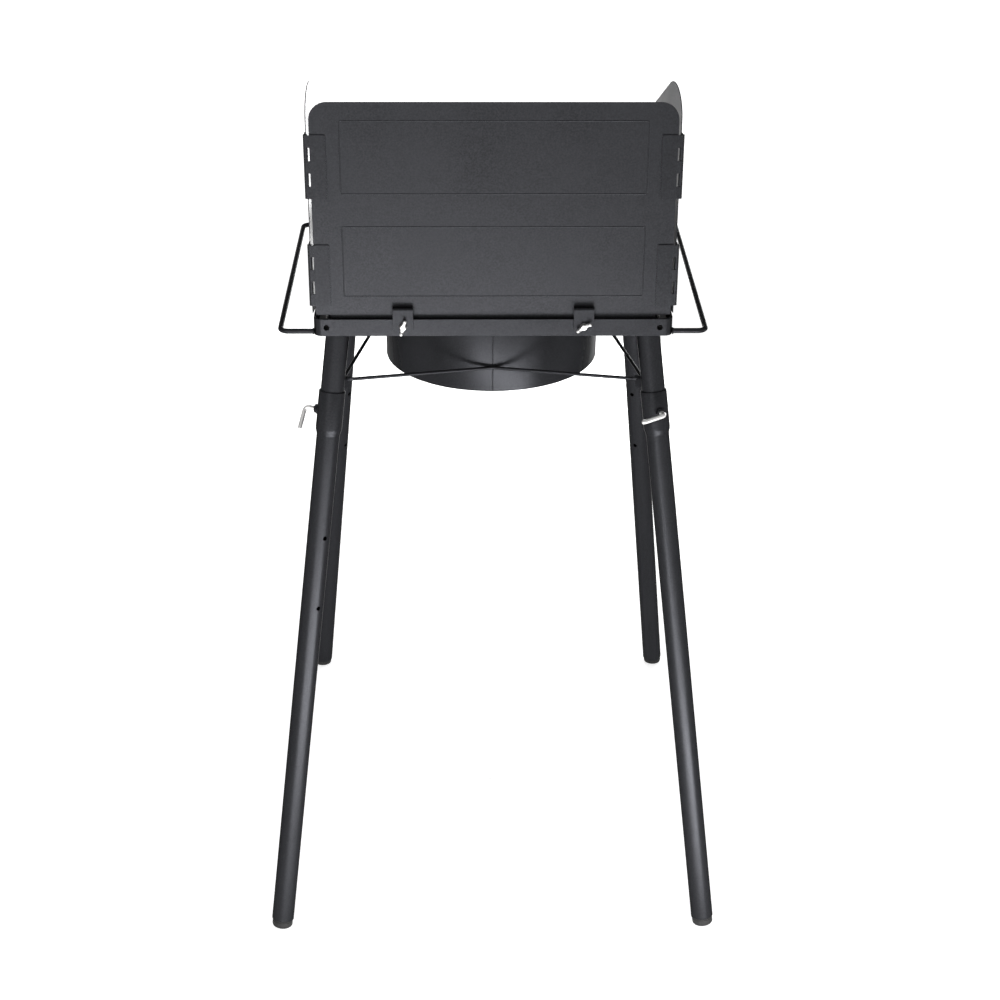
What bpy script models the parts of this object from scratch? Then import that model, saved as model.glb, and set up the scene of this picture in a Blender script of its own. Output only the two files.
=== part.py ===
import math

import bmesh
import bpy
from mathutils import Matrix, Vector

# Driving sizes in metres
FRAME_W = 0.406
FRAME_D = 0.380
FRAME_CORNER_R = 0.009
FRAME_WALL = 0.0025
FLANGE_W = 0.022
FLANGE_CORNER = 0.040
RAIL_H = 0.0205
RAIL_BOTTOM = 0.738
RAIL_HOLE_R = 0.0031
RAIL_HOLE_INSET = 0.0146
GAP = 0.0003

# Legs
TUBE_R = 0.0135
TUBE_WALL = 0.0015
LEG_INSET = 0.026
LEG_SPREAD_X_REAR = 0.085
LEG_SPREAD_X_FRONT = 0.075
LEG_SPREAD_Y = 0.147
COLLAR_TOP = 0.0735
COLLAR_LEN = 0.0475
COLLAR_SLACK = 0.00025
COLLAR_TAPER = 0.004
LEG_HOLE_R = 0.0027
LEG_HOLES = (0.249, 0.336)
LEG_HOLE_TURN = math.radians(145)
NUT_DROP = 0.0245
NUT_AF = 0.0095
NUT_H = 0.0035
ROD_R = 0.0026
ROD_SLACK = 0.0003
ROD_OUT = 0.0122
ROD_BEND = 0.005
ROD_ARM = 0.029
FOOT_H = 0.009
FOOT_R = 0.0125
FOOT_ROUND = 0.004
FOOT_BELOW = 0.0016
FOOT_PLUG = 0.015

# Braces and handles
BRACE_DROP = 0.0635
BRACE_R = 0.002
BRACE_BEND = 0.012
BRACE_SIDE_CLEAR = 0.011
PLATE_T = 0.003
PLATE_H = 0.014
PLATE_OUT = 0.0125
PLATE_ROOT = 0.001
HANDLE_R = 0.003
HANDLE_OUT = 0.0385
HANDLE_END = 0.006
HANDLE_RISE = 0.004
HANDLE_BEND = 0.0095

# Drum and burner
DRUM_WALL = 0.0015
DRUM_HANG = 0.095
DRUM_DROP = 0.0034
STRIP_RISE = 0.018
STRIP_T = 0.0025
STRIP_W = 0.020
STRIP_END_H = 0.015
BOWL_R = 0.048
BOWL_WALL = 0.004
BOWL_H = 0.041
MIX_RISE = 0.049
MIX_R = 0.010
MIX_WALL = 0.002
MIX_OUT = 0.0235
MIX_SLACK = 0.0006
CAP_R = 0.050
CAP_H = 0.008
CAP_PORTS = 20
CAP_PORT_R = 0.00175
CAP_PORT_RING = 0.036
BOLT_R = 0.003
BOLT_HEAD_R = 0.0055
BOLT_HEAD_H = 0.004
RUN = 0.00009

# Shutter, jet and valve
SHUTTER_WALL = 0.0012
SHUTTER_LEN = 0.014
SHUTTER_HOLE = 0.0025
SHUTTER_HOLE_RING = 0.0074
JET_R = 0.004
JET_TIP_R = 0.002
JET_TIP = 0.004
JET_IN = 0.003
JET_OUT = 0.007
JET_SLACK = 0.0003
BRACKET_T = 0.0015
BRACKET_INSET = 0.002
BRACKET_W = 0.070
BRACKET_BELOW = 0.022
BRACKET_TAB = 0.014
VALVE_R = 0.009
VALVE_LEN = 0.0244
NECK_R = 0.005
NECK_SLACK = 0.0004
NECK_OUT = 0.006
NECK_BORE = 0.008
VALVE_NUT_AF = 0.015
VALVE_NUT_H = 0.003
BOSS_R = 0.007
BOSS_DROP = 0.013
INLET_R = 0.006
INLET_BORE = 0.003
INLET_LEN = 0.016
STEM_R = 0.003
KNOB_R = 0.017
KNOB_H = 0.018
KNOB_STAND = 0.0015
KNOB_GRIP = 0.009
KNOB_GRIP_W = 0.007

# Cooking grate
GRATE_H = 0.012
GRATE_SIDE_CLEAR = 0.003
GRATE_REAR_CLEAR = 0.0095
GRATE_BAR = 0.008
GRATE_SLOTS = 8

# Windscreen
SHEET_T = 0.001
PANEL_SIDE_CLEAR = 0.003
PANEL_H = 0.247
PANEL_BACK = 0.006
PANEL_R = 0.020
PANEL_FOOT = 0.015
PANEL_STEP_W = 0.017
PANEL_STEP_RUN = 0.002
PANEL_STEP_Z = 0.003
BEAD_SIDE_CLEAR = 0.015
BEAD_LOW = (0.0253, 0.1069)
BEAD_HIGH = (0.1445, 0.2265)
BEAD_R = 0.002
BEAD_HALF = 0.001
BEAD_TOP_HALF = 0.0005
BEAD_H = 0.0004
HINGE_LEN = 0.072
HINGE_Z = (0.050, 0.175)
HINGE_OUT = 0.0042
HINGE_LEAF = 0.0175
KNUCKLE_R = 0.0026
KNUCKLES = 5
PIN_R = 0.0013
WING_MEET = 0.002
WING_LIFT = 0.0028
WING_TIP = 0.0117
WING_R = 0.033
WING_NOSE_R = 0.015
WING_FRONT_R = 0.003
WING_SLOPE = math.radians(32.9)
WING_TOES = {"left": math.radians(4.3), "right": math.radians(10.1)}
CLIP_X = 0.102
CLIP_W = 0.023
CLIP_T = 0.002
CLIP_UP = 0.0135
CLIP_DOWN = 0.013
SCREW_DROP = 0.008
SCREW_R = 0.0025
SCREW_SLACK = 0.0003
SCREW_HUB_R = 0.0045
SCREW_HUB_H = 0.005
SCREW_SPAN = 0.0225
SCREW_WING_T = 0.0024
SCREW_WING_H = 0.009
SCREW_TILTS = {"left": math.radians(106), "right": math.radians(150)}

# Segment counts, and the bevel resolution of a wire
ROUND = 24
SMALL = 12
WIRE = 3
CORNER = 4
DRUM_STEPS = 72

# Merge distance, the angle that still counts as flat, and how an outline's plane is turned
WELD = 0.000001
FLAT = math.radians(0.1)
PLANES = {
    "xy": Matrix.Identity(4),
    "xz": Matrix.Rotation(math.pi / 2, 4, "X") @ Matrix.Diagonal((1, 1, -1, 1)),
    "yz": Matrix(((0, 0, 1, 0), (1, 0, 0, 0), (0, 1, 0, 0), (0, 0, 0, 1))),
}

# Sizes that follow from the others
RAIL_TOP = RAIL_BOTTOM + RAIL_H
BRACE_Z = RAIL_BOTTOM - BRACE_DROP
DRUM_BOTTOM = RAIL_BOTTOM - DRUM_HANG
MIX_Z = DRUM_BOTTOM + MIX_RISE
BRACKET_BACK = FRAME_D / 2 - BRACKET_INSET - BRACKET_T
VALVE_START = BRACKET_BACK - GAP - VALVE_LEN
SHUTTER_FACE = VALVE_START - GAP - JET_OUT - SHUTTER_WALL
MIX_MOUTH = SHUTTER_FACE - GAP
DRUM_R = MIX_MOUTH - MIX_OUT
PANEL_W = FRAME_W - 2 * PANEL_SIDE_CLEAR
BEAD_W = PANEL_W - 2 * (HINGE_LEAF + BEAD_SIDE_CLEAR)
WING_LEN = PANEL_W / 2 - WING_MEET
SIDES = {"left": -1, "right": 1}
ENDS = {"rear": -1, "front": 1}
NUT_AZIMUTH = {
    ("rear", "left"): math.radians(-108),
    ("rear", "right"): math.radians(17),
    ("front", "left"): math.radians(-92),
    ("front", "right"): math.radians(-175),
}
ARM_TURN = {
    ("rear", "left"): math.radians(-28),
    ("rear", "right"): math.radians(82),
    ("front", "left"): 0.0,
    ("front", "right"): 0.0,
}


def empty_scene():
    """Take away whatever the scene starts with."""
    for obj in list(bpy.data.objects):
        bpy.data.objects.remove(obj, do_unlink=True)


def arc(cx, cy, r, start, end, steps):
    """Points on an arc."""
    turn = (end - start) / steps
    return [(cx + r * math.cos(start + i * turn), cy + r * math.sin(start + i * turn)) for i in range(steps + 1)]


def rounded(hx, hy, r, steps):
    """Outline of a rectangle with rounded corners, centred on the origin."""
    quarter = math.pi / 2
    points = []
    for k, (sx, sy) in enumerate(((1, 1), (-1, 1), (-1, -1), (1, -1))):
        points += arc(sx * (hx - r), sy * (hy - r), r, k * quarter, (k + 1) * quarter, steps)
    return points


def chamfered(hx, hy, cut):
    """Outline of a rectangle with cut corners, centred on the origin."""
    points = []
    for sx, sy in ((1, 1), (-1, 1), (-1, -1), (1, -1)):
        corner = [(sx * hx, sy * (hy - cut)), (sx * (hx - cut), sy * hy)]
        points += corner if sx == sy else corner[::-1]
    return points


def working(name, data):
    """Working object on a mesh or a curve."""
    obj = bpy.data.objects.new(name, data)
    bpy.context.scene.collection.objects.link(obj)
    return obj


def baked(obj, tools=()):
    """Skin of a working object as its modifiers leave it; the object and its tools go."""
    bpy.context.view_layer.update()
    graph = bpy.context.evaluated_depsgraph_get()
    mesh = bpy.data.meshes.new_from_object(obj.evaluated_get(graph))
    bm = bmesh.new()
    bm.from_mesh(mesh)
    bpy.data.meshes.remove(mesh)
    for used in (obj, *tools):
        bpy.data.objects.remove(used, do_unlink=True)
    return bm


def tidied(bm):
    """The same skin with its loose seams welded and its faces pointing out."""
    bmesh.ops.remove_doubles(bm, verts=bm.verts, dist=WELD)
    bmesh.ops.recalc_face_normals(bm, faces=bm.faces)
    return bm


def box(low, high):
    """Box between two corners."""
    low, high = Vector(low), Vector(high)
    bm = bmesh.new()
    bmesh.ops.create_cube(bm, size=1, matrix=Matrix.LocRotScale((low + high) / 2, None, high - low))
    return bm


def rod(radius, low, high, steps):
    """Round rod about Z."""
    bm = bmesh.new()
    bmesh.ops.create_cone(bm, cap_ends=True, segments=steps, radius1=radius, radius2=radius, depth=high - low,
                          matrix=Matrix.Translation((0, 0, (low + high) / 2)))
    return bm


def turned(profile, steps, ring):
    """Skin of revolution about Z: (radius, z) pairs under a Screw modifier, as a ring or end to end."""
    count = len(profile)
    edges = [(i, (i + 1) % count) for i in range(count if ring else count - 1)]
    mesh = bpy.data.meshes.new("profile")
    mesh.from_pydata([(r, 0, z) for r, z in profile], edges, [])
    obj = working("turned", mesh)
    screw = obj.modifiers.new("screw", "SCREW")
    screw.steps = steps
    screw.render_steps = steps
    return baked(obj)


def solid(profile, steps):
    """Solid of revolution about Z, with flat ends."""
    bm = turned(profile, steps, False)
    bmesh.ops.holes_fill(bm, edges=[edge for edge in bm.edges if edge.is_boundary], sides=steps)
    return tidied(bm)


def hollow(profile, steps):
    """Hollow body of revolution about Z from a closed (radius, z) outline."""
    return tidied(turned(profile, steps, True))


def prism(outline, low, high, plane):
    """Flat outline given thickness from low to high along the axis that the plane leaves out."""
    curve = bpy.data.curves.new("outline", "CURVE")
    curve.dimensions = "2D"
    curve.fill_mode = "BOTH"
    curve.extrude = (high - low) / 2
    spline = curve.splines.new("POLY")
    spline.points.add(len(outline) - 1)
    for point, (a, b) in zip(spline.points, outline):
        point.co = (a, b, 0, 1)
    spline.use_cyclic_u = True
    bm = tidied(baked(working("prism", curve)))
    bmesh.ops.dissolve_limit(bm, angle_limit=FLAT, verts=bm.verts, edges=bm.edges)
    return moved(bm, PLANES[plane] @ Matrix.Translation((0, 0, (low + high) / 2)))


def looped(loops):
    """Closed skin over loops of equal length, each joined to the next and the last to the first."""
    bm = bmesh.new()
    rows = [[bm.verts.new(place) for place in loop] for loop in loops]
    for a, b in zip(rows, rows[1:] + rows[:1]):
        for i in range(len(a)):
            bm.faces.new((a[i - 1], a[i], b[i], b[i - 1]))
    bmesh.ops.recalc_face_normals(bm, faces=bm.faces)
    return bm


def moved(bm, matrix):
    """The same skin under a matrix."""
    bmesh.ops.transform(bm, matrix=matrix, verts=bm.verts)
    if matrix.determinant() < 0:
        bmesh.ops.reverse_faces(bm, faces=bm.faces)
    return bm


def along_y(bm):
    """Turn a body about Z into one about Y, with +Z going to +Y."""
    return moved(bm, Matrix.Rotation(-math.pi / 2, 4, "X"))


def along_x(bm):
    """Turn a body about Z into one about X, with +Z going to +X."""
    return moved(bm, Matrix.Rotation(math.pi / 2, 4, "Y"))


def at(bm, x, y, z):
    """Shift a skin."""
    return moved(bm, Matrix.Translation((x, y, z)))


def bend(points, radius, steps):
    """Polyline with its inner corners rounded."""
    pts = [Vector(p) for p in points]
    path = [pts[0]]
    for before, corner, after in zip(pts, pts[1:], pts[2:]):
        a = (before - corner).normalized()
        b = (after - corner).normalized()
        half = a.angle(b) / 2
        centre = corner + (a + b).normalized() * (radius / math.sin(half))
        start = corner + a * (radius / math.tan(half)) - centre
        end = corner + b * (radius / math.tan(half)) - centre
        for i in range(steps + 1):
            path.append(centre + start.slerp(end, i / steps).normalized() * radius)
    path.append(pts[-1])
    return path


def wire(path, radius):
    """Round wire along a path: a curve with a bevel and filled ends."""
    curve = bpy.data.curves.new("wire", "CURVE")
    curve.dimensions = "3D"
    curve.bevel_depth = radius
    curve.bevel_resolution = WIRE
    curve.use_fill_caps = True
    spline = curve.splines.new("POLY")
    spline.points.add(len(path) - 1)
    for point, place in zip(spline.points, path):
        point.co = (*place, 1)
    return tidied(baked(working("wire", curve)))


def shaped(bm, steps):
    """Skin after a list of (operation, other skin) steps."""
    mesh = bpy.data.meshes.new("base")
    bm.to_mesh(mesh)
    bm.free()
    base = working("base", mesh)
    tools = []
    for operation, other in steps:
        mesh = bpy.data.meshes.new("tool")
        other.to_mesh(mesh)
        other.free()
        tools.append(working("tool", mesh))
        change = base.modifiers.new(operation.lower(), "BOOLEAN")
        change.operation = operation
        change.solver = "EXACT"
        change.object = tools[-1]
    return baked(base, tools)


def finish(kind):
    """Principled material for a class of surface."""
    colour, rough, metal = {
        "black": ((0.050, 0.051, 0.053, 1), 0.55, 0.0),
        "sheet": ((0.055, 0.056, 0.058, 1), 0.6, 0.0),
        "zinc": ((0.72, 0.71, 0.68, 1), 0.3, 1.0),
        "iron": ((0.045, 0.044, 0.043, 1), 0.75, 0.3),
        "brass": ((0.72, 0.52, 0.22, 1), 0.3, 1.0),
        "steel": ((0.55, 0.55, 0.55, 1), 0.35, 1.0),
        "rubber": ((0.012, 0.012, 0.012, 1), 0.8, 0.0),
        "plastic": ((0.020, 0.020, 0.021, 1), 0.45, 0.0),
    }[kind]
    return colour, rough, metal


def node(name, bm, kind, matrix=None, parent=None):
    """Finished piece with its own material."""
    mesh = bpy.data.meshes.new(name)
    bm.to_mesh(mesh)
    bm.free()
    mesh.shade_smooth()
    mesh.set_sharp_from_angle(angle=math.radians(35))
    return piece(name, mesh, kind, matrix, parent)


def piece(name, mesh, kind, matrix=None, parent=None):
    """Named object on a mesh that other copies may share."""
    obj = bpy.data.objects.new(name, mesh)
    STOVE.objects.link(obj)
    colour, rough, metal = finish(kind)
    material = bpy.data.materials.new(name)
    material.use_nodes = True
    shader = material.node_tree.nodes["Principled BSDF"]
    shader.inputs["Base Color"].default_value = colour
    shader.inputs["Roughness"].default_value = rough
    shader.inputs["Metallic"].default_value = metal
    if not mesh.materials:
        mesh.materials.append(None)
    obj.material_slots[0].link = "OBJECT"
    obj.material_slots[0].material = material
    if parent is not None:
        obj.parent = parent
    if matrix is not None:
        obj.matrix_local = matrix
    return obj


def joint(name, matrix, parent=None):
    """Empty on a joint's axis."""
    obj = bpy.data.objects.new(name, None)
    STOVE.objects.link(obj)
    if parent is not None:
        obj.parent = parent
    obj.matrix_local = matrix
    return obj


def leg_frame(end, side):
    """Stub top, direction down the leg and length to the floor."""
    sx, sy = SIDES[side], ENDS[end]
    spread = LEG_SPREAD_X_REAR if end == "rear" else LEG_SPREAD_X_FRONT
    top = Vector((sx * (FRAME_W / 2 - LEG_INSET), sy * (FRAME_D / 2 - LEG_INSET), RAIL_BOTTOM))
    reach = Vector((sx * spread, sy * LEG_SPREAD_Y, -RAIL_BOTTOM))
    return top, reach.normalized(), reach.length


def leg_matrix(end, side, azimuth):
    """Frame with +Z up the leg and +X turned to an azimuth, counted from the rear towards the right."""
    top, down, _ = leg_frame(end, side)
    up = -down
    out = Vector((math.sin(azimuth), -math.cos(azimuth), 0))
    x = (out - up * out.dot(up)).normalized()
    y = up.cross(x)
    turn = Matrix((x, y, up)).transposed().to_4x4()
    return Matrix.Translation(top) @ turn


def build_ring():
    """Rectangular ring with a vertical wall and an inward flange at its foot."""
    hx, hy = FRAME_W / 2, FRAME_D / 2
    shelf = RAIL_BOTTOM + FRAME_WALL
    block = prism(rounded(hx, hy, FRAME_CORNER_R, CORNER), RAIL_BOTTOM, RAIL_TOP, "xy")
    room = rounded(hx - FRAME_WALL, hy - FRAME_WALL, FRAME_CORNER_R - FRAME_WALL, CORNER)
    edge = chamfered(hx - FLANGE_W, hy - FLANGE_W, FLANGE_CORNER)
    cuts = [("DIFFERENCE", prism(room, shelf, RAIL_TOP + FRAME_WALL, "xy")),
            ("DIFFERENCE", prism(edge, RAIL_BOTTOM - FRAME_WALL, shelf + FRAME_WALL, "xy"))]
    for sx in SIDES.values():
        for sy in ENDS.values():
            drill = along_y(rod(RAIL_HOLE_R, -FRAME_WALL, FRAME_WALL * 2, SMALL))
            depth = hy - FRAME_WALL if sy > 0 else -hy
            cuts.append(("DIFFERENCE", at(drill, sx * (hx - RAIL_HOLE_INSET), depth, RAIL_BOTTOM + RAIL_H / 2)))
    node("frame_ring", shaped(block, cuts), "black")


def build_stubs():
    """Tubes under the ring's corners, each with a plate on its inner side."""
    length = COLLAR_TOP + COLLAR_LEN - GAP
    bore = TUBE_R - TUBE_WALL
    above = TUBE_R
    for end, sy in ENDS.items():
        for side, sx in SIDES.items():
            top, down, _ = leg_frame(end, side)
            inward = math.atan2(-sx, sy)
            matrix = leg_matrix(end, side, inward)
            tube = hollow(((TUBE_R, above), (bore, above), (bore, -length), (TUBE_R, -length)), ROUND)
            drop = (RAIL_BOTTOM - BRACE_Z) / -down.z
            plate = box((TUBE_R - PLATE_ROOT, -PLATE_T / 2, -drop - PLATE_H / 2),
                        (TUBE_R + PLATE_OUT, PLATE_T / 2, -drop + PLATE_H / 2))
            reach = TUBE_R * 4
            ceiling = box((top.x - reach, top.y - reach, RAIL_BOTTOM - GAP),
                          (top.x + reach, top.y + reach, RAIL_BOTTOM + reach))
            skin = shaped(tube, [("UNION", plate), ("DIFFERENCE", moved(ceiling, matrix.inverted()))])
            node("leg_stub_%s_%s" % (end, side), skin, "black", matrix)


def brace_end(end, side, turn):
    """Where a brace wire meets the plate of a stub, on one side of it."""
    sx, sy = SIDES[side], ENDS[end]
    top, down, _ = leg_frame(end, side)
    centre = top + down * ((RAIL_BOTTOM - BRACE_Z) / -down.z)
    inward = Vector((-sx, -sy, 0)).normalized()
    across = Vector((-sx, sy, 0)).normalized() * turn
    reach = TUBE_R + PLATE_OUT / 2
    return centre + inward * reach + across * (PLATE_T / 2 + GAP + BRACE_R)


def build_braces():
    """Four bent wires that join the stubs; two touch the drum and the side ones pass clear of it."""
    touch = DRUM_R + GAP + BRACE_R
    for end, sy in ENDS.items():
        path = [brace_end(end, "left", 1), Vector((0, sy * touch, BRACE_Z)), brace_end(end, "right", 1)]
        node("brace_%s" % end, wire(bend(path, BRACE_BEND, 3), BRACE_R), "black")
    for side, sx in SIDES.items():
        middle = Vector((sx * (touch + BRACE_SIDE_CLEAR), 0, BRACE_Z))
        path = [brace_end("rear", side, -1), middle, brace_end("front", side, -1)]
        node("brace_%s" % side, wire(bend(path, BRACE_BEND, 3), BRACE_R), "black")


def build_handles():
    """Wire loops along the two sides of the ring."""
    z = RAIL_BOTTOM + HANDLE_RISE
    y = FRAME_D / 2 - HANDLE_END
    for side, sx in SIDES.items():
        near = sx * (FRAME_W / 2 + GAP)
        far = sx * (FRAME_W / 2 + HANDLE_OUT)
        path = bend([(near, -y, z), (far, -y, z), (far, y, z), (near, y, z)], HANDLE_BEND, CORNER)
        node("handle_%s" % side, wire(path, HANDLE_R), "black")


def build_drum():
    """Rolled sheet drum, open at both ends, with a hole for the mixing tube."""
    top = RAIL_BOTTOM - DRUM_DROP
    bore = DRUM_R - DRUM_WALL
    skin = hollow(((DRUM_R, DRUM_BOTTOM), (DRUM_R, top), (bore, top), (bore, DRUM_BOTTOM)), DRUM_STEPS)
    r = MIX_R + MIX_SLACK
    drill = at(along_y(rod(r, bore - DRUM_R / 4, DRUM_R + DRUM_R / 8, ROUND)), 0, 0, MIX_Z)
    node("drum", shaped(skin, [("DIFFERENCE", drill)]), "black")


def build_burner():
    """Strip, cast body with mixing tube, cap, bolt and air shutter."""
    bore = DRUM_R - DRUM_WALL
    half = math.sqrt(bore ** 2 - (STRIP_W / 2) ** 2) * math.cos(math.pi / DRUM_STEPS) - GAP
    low = DRUM_BOTTOM + STRIP_RISE
    high = low + STRIP_T
    rim = high + STRIP_END_H
    outline = [(-half, low), (half, low), (half, rim), (half - STRIP_T, rim), (half - STRIP_T, high),
               (STRIP_T - half, high), (STRIP_T - half, rim), (-half, rim)]
    hole = BOLT_R + RUN
    drill = rod(hole, low - STRIP_T, high + STRIP_T, SMALL)
    node("burner_strip", shaped(prism(outline, -STRIP_W / 2, STRIP_W / 2, "xz"), [("DIFFERENCE", drill)]), "black")

    base = high + GAP
    top = base + BOWL_H
    inner = BOWL_R - BOWL_WALL
    bowl = solid(((BOWL_R - BOWL_WALL, base), (BOWL_R, base + BOWL_WALL), (BOWL_R, top)), ROUND)
    pipe = at(along_y(rod(MIX_R, inner, MIX_MOUTH, ROUND)), 0, 0, MIX_Z)
    room = rod(inner, base + BOWL_WALL, top + BOWL_WALL, ROUND)
    way = MIX_R - MIX_WALL
    passage = at(along_y(rod(way, inner / 2, MIX_MOUTH + MIX_WALL, ROUND)), 0, 0, MIX_Z)
    drill = rod(hole, base - BOWL_WALL, base + BOWL_WALL * 2, SMALL)
    body = shaped(bowl, [("UNION", pipe), ("DIFFERENCE", room), ("DIFFERENCE", passage), ("DIFFERENCE", drill)])
    node("burner_body", body, "iron")

    under = top + GAP
    crown = under + CAP_H
    cap = solid(((CAP_R, under), (CAP_R, under + CAP_H / 2), (CAP_R - CAP_H / 2, crown)), ROUND)
    ports = []
    for i in range(CAP_PORTS):
        turn = math.tau * i / CAP_PORTS
        port = rod(CAP_PORT_R, under - CAP_H, crown + CAP_H, SMALL // 2)
        ports.append(("DIFFERENCE", at(port, CAP_PORT_RING * math.cos(turn), CAP_PORT_RING * math.sin(turn), 0)))
    node("burner_cap", shaped(cap, ports), "iron")

    shank = base + BOWL_WALL + BOLT_R
    bolt = solid(((BOLT_HEAD_R, low - GAP - BOLT_HEAD_H), (BOLT_HEAD_R, low - GAP), (BOLT_R, low - GAP),
                  (BOLT_R, shank)), SMALL)
    node("burner_bolt", bolt, "zinc")

    sleeve = MIX_R + RUN
    outer = sleeve + SHUTTER_WALL
    face = SHUTTER_FACE
    front = face + SHUTTER_WALL
    window = JET_R + JET_SLACK
    skin = along_y(hollow(((outer, front - SHUTTER_LEN), (outer, front), (window, front), (window, face),
                           (sleeve, face), (sleeve, front - SHUTTER_LEN)), ROUND))
    cuts = []
    for sx in (-1, 1):
        drill = along_y(rod(SHUTTER_HOLE, face - SHUTTER_WALL / 2, front + SHUTTER_WALL, SMALL))
        cuts.append(("DIFFERENCE", at(drill, sx * SHUTTER_HOLE_RING, 0, 0)))
    node("air_shutter", shaped(skin, cuts), "zinc", Matrix.Translation((0, 0, MIX_Z)))


def hexagon(across):
    """Corners of a hexagon of a width across flats."""
    r = across / math.sqrt(3)
    return [(r * math.cos(math.tau * i / 6), r * math.sin(math.tau * i / 6)) for i in range(6)]


def hex_nut(across, height, bore):
    """Hexagonal nut about Z, standing on the origin."""
    skin = prism(hexagon(across), 0, height, "xy")
    drill = rod(bore, -height, height * 2, SMALL)
    return shaped(skin, [("DIFFERENCE", drill)])


def build_valve():
    """Bracket, valve, its nut, stem, knob, jet and gas inlet, all in line with the mixing tube."""
    back = BRACKET_BACK
    front = back + BRACKET_T
    top = RAIL_BOTTOM - GAP
    outline = [(back - BRACKET_TAB, top - BRACKET_T), (back, top - BRACKET_T), (back, MIX_Z - BRACKET_BELOW),
               (front, MIX_Z - BRACKET_BELOW), (front, top), (back - BRACKET_TAB, top)]
    neck_hole = NECK_R + NECK_SLACK
    drill = at(along_y(rod(neck_hole, -BRACKET_T, BRACKET_T * 2, ROUND)), 0, back, MIX_Z)
    plate = prism(outline, -BRACKET_W / 2, BRACKET_W / 2, "yz")
    node("valve_bracket", shaped(plate, [("DIFFERENCE", drill)]), "black")

    body_start = VALVE_START
    body_end = back - GAP
    neck_end = front + NECK_OUT
    bore = STEM_R / math.cos(math.pi / SMALL) + RUN
    body = along_y(solid(((VALVE_R, body_start), (VALVE_R, body_end), (NECK_R, body_end), (NECK_R, neck_end)),
                         ROUND))
    middle = (body_start + body_end) / 2
    boss = at(rod(BOSS_R, -BOSS_DROP, 0, ROUND), 0, middle, 0)
    well = along_y(rod(bore, neck_end - NECK_BORE, neck_end + NECK_OUT, SMALL))
    throat = at(rod(INLET_BORE, -BOSS_DROP * 2, 0, SMALL), 0, middle, 0)
    steps = [("UNION", boss), ("DIFFERENCE", well), ("DIFFERENCE", throat)]
    node("valve_body", shaped(body, steps), "brass", Matrix.Translation((0, 0, MIX_Z)))

    nut = at(along_y(hex_nut(VALVE_NUT_AF, VALVE_NUT_H, neck_hole)), 0, front + GAP, MIX_Z)
    node("valve_nut", nut, "zinc")

    jet_start = MIX_MOUTH - JET_IN
    jet = along_y(solid(((JET_TIP_R, jet_start), (JET_R, jet_start + JET_TIP), (JET_R, body_start - GAP)), SMALL))
    node("gas_jet", jet, "brass", Matrix.Translation((0, 0, MIX_Z)))

    flange = MIX_Z - BOSS_DROP - GAP
    inlet = hollow(((BOSS_R, flange), (BOSS_R, flange - INLET_LEN / 3), (INLET_R, flange - INLET_LEN / 3),
                    (INLET_R, flange - INLET_LEN), (INLET_BORE, flange - INLET_LEN), (INLET_BORE, flange)), ROUND)
    node("gas_inlet", at(inlet, 0, middle, 0), "brass")

    knob_back = neck_end + KNOB_STAND
    knob_front = knob_back + KNOB_H
    stem_end = knob_back + KNOB_GRIP
    turn = joint("valve_axis", Matrix.Translation((0, 0, MIX_Z)))
    stem = along_y(rod(STEM_R, neck_end - NECK_BORE + GAP, stem_end, SMALL))
    node("valve_stem", stem, "steel", Matrix.Identity(4), turn)
    disc = knob_back + KNOB_H - KNOB_GRIP
    knob = along_y(solid(((KNOB_R, knob_back), (KNOB_R, disc - KNOB_STAND), (KNOB_R - KNOB_STAND, disc)), ROUND))
    grip = box((-KNOB_GRIP_W / 2, disc - KNOB_STAND, -KNOB_R + KNOB_STAND * 2),
               (KNOB_GRIP_W / 2, knob_front, KNOB_R - KNOB_STAND * 2))
    socket = along_y(rod(STEM_R + GAP, knob_back - KNOB_STAND, stem_end + GAP, SMALL))
    node("valve_knob", shaped(knob, [("UNION", grip), ("DIFFERENCE", socket)]), "plastic", Matrix.Identity(4), turn)


def build_grate():
    """Flat grate of parallel bars that rests on the ring's flange."""
    hx = FRAME_W / 2 - FRAME_WALL - GRATE_SIDE_CLEAR
    y0 = GRATE_REAR_CLEAR - FRAME_D / 2
    y1 = FRAME_D / 2 - FRAME_WALL - GRATE_SIDE_CLEAR
    z0 = RAIL_BOTTOM + FRAME_WALL + GAP
    z1 = z0 + GRATE_H
    plate = box((-hx, y0, z0), (hx, y1, z1))
    pitch = (2 * hx - GRATE_BAR) / GRATE_SLOTS
    slots = []
    for i in range(GRATE_SLOTS):
        x = GRATE_BAR + i * pitch - hx
        slot = box((x, y0 + GRATE_BAR, z0 - GRATE_H), (x + pitch - GRATE_BAR, y1 - GRATE_BAR, z1 + GRATE_H))
        slots.append(("DIFFERENCE", slot))
    node("grate", shaped(plate, slots), "iron")


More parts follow.
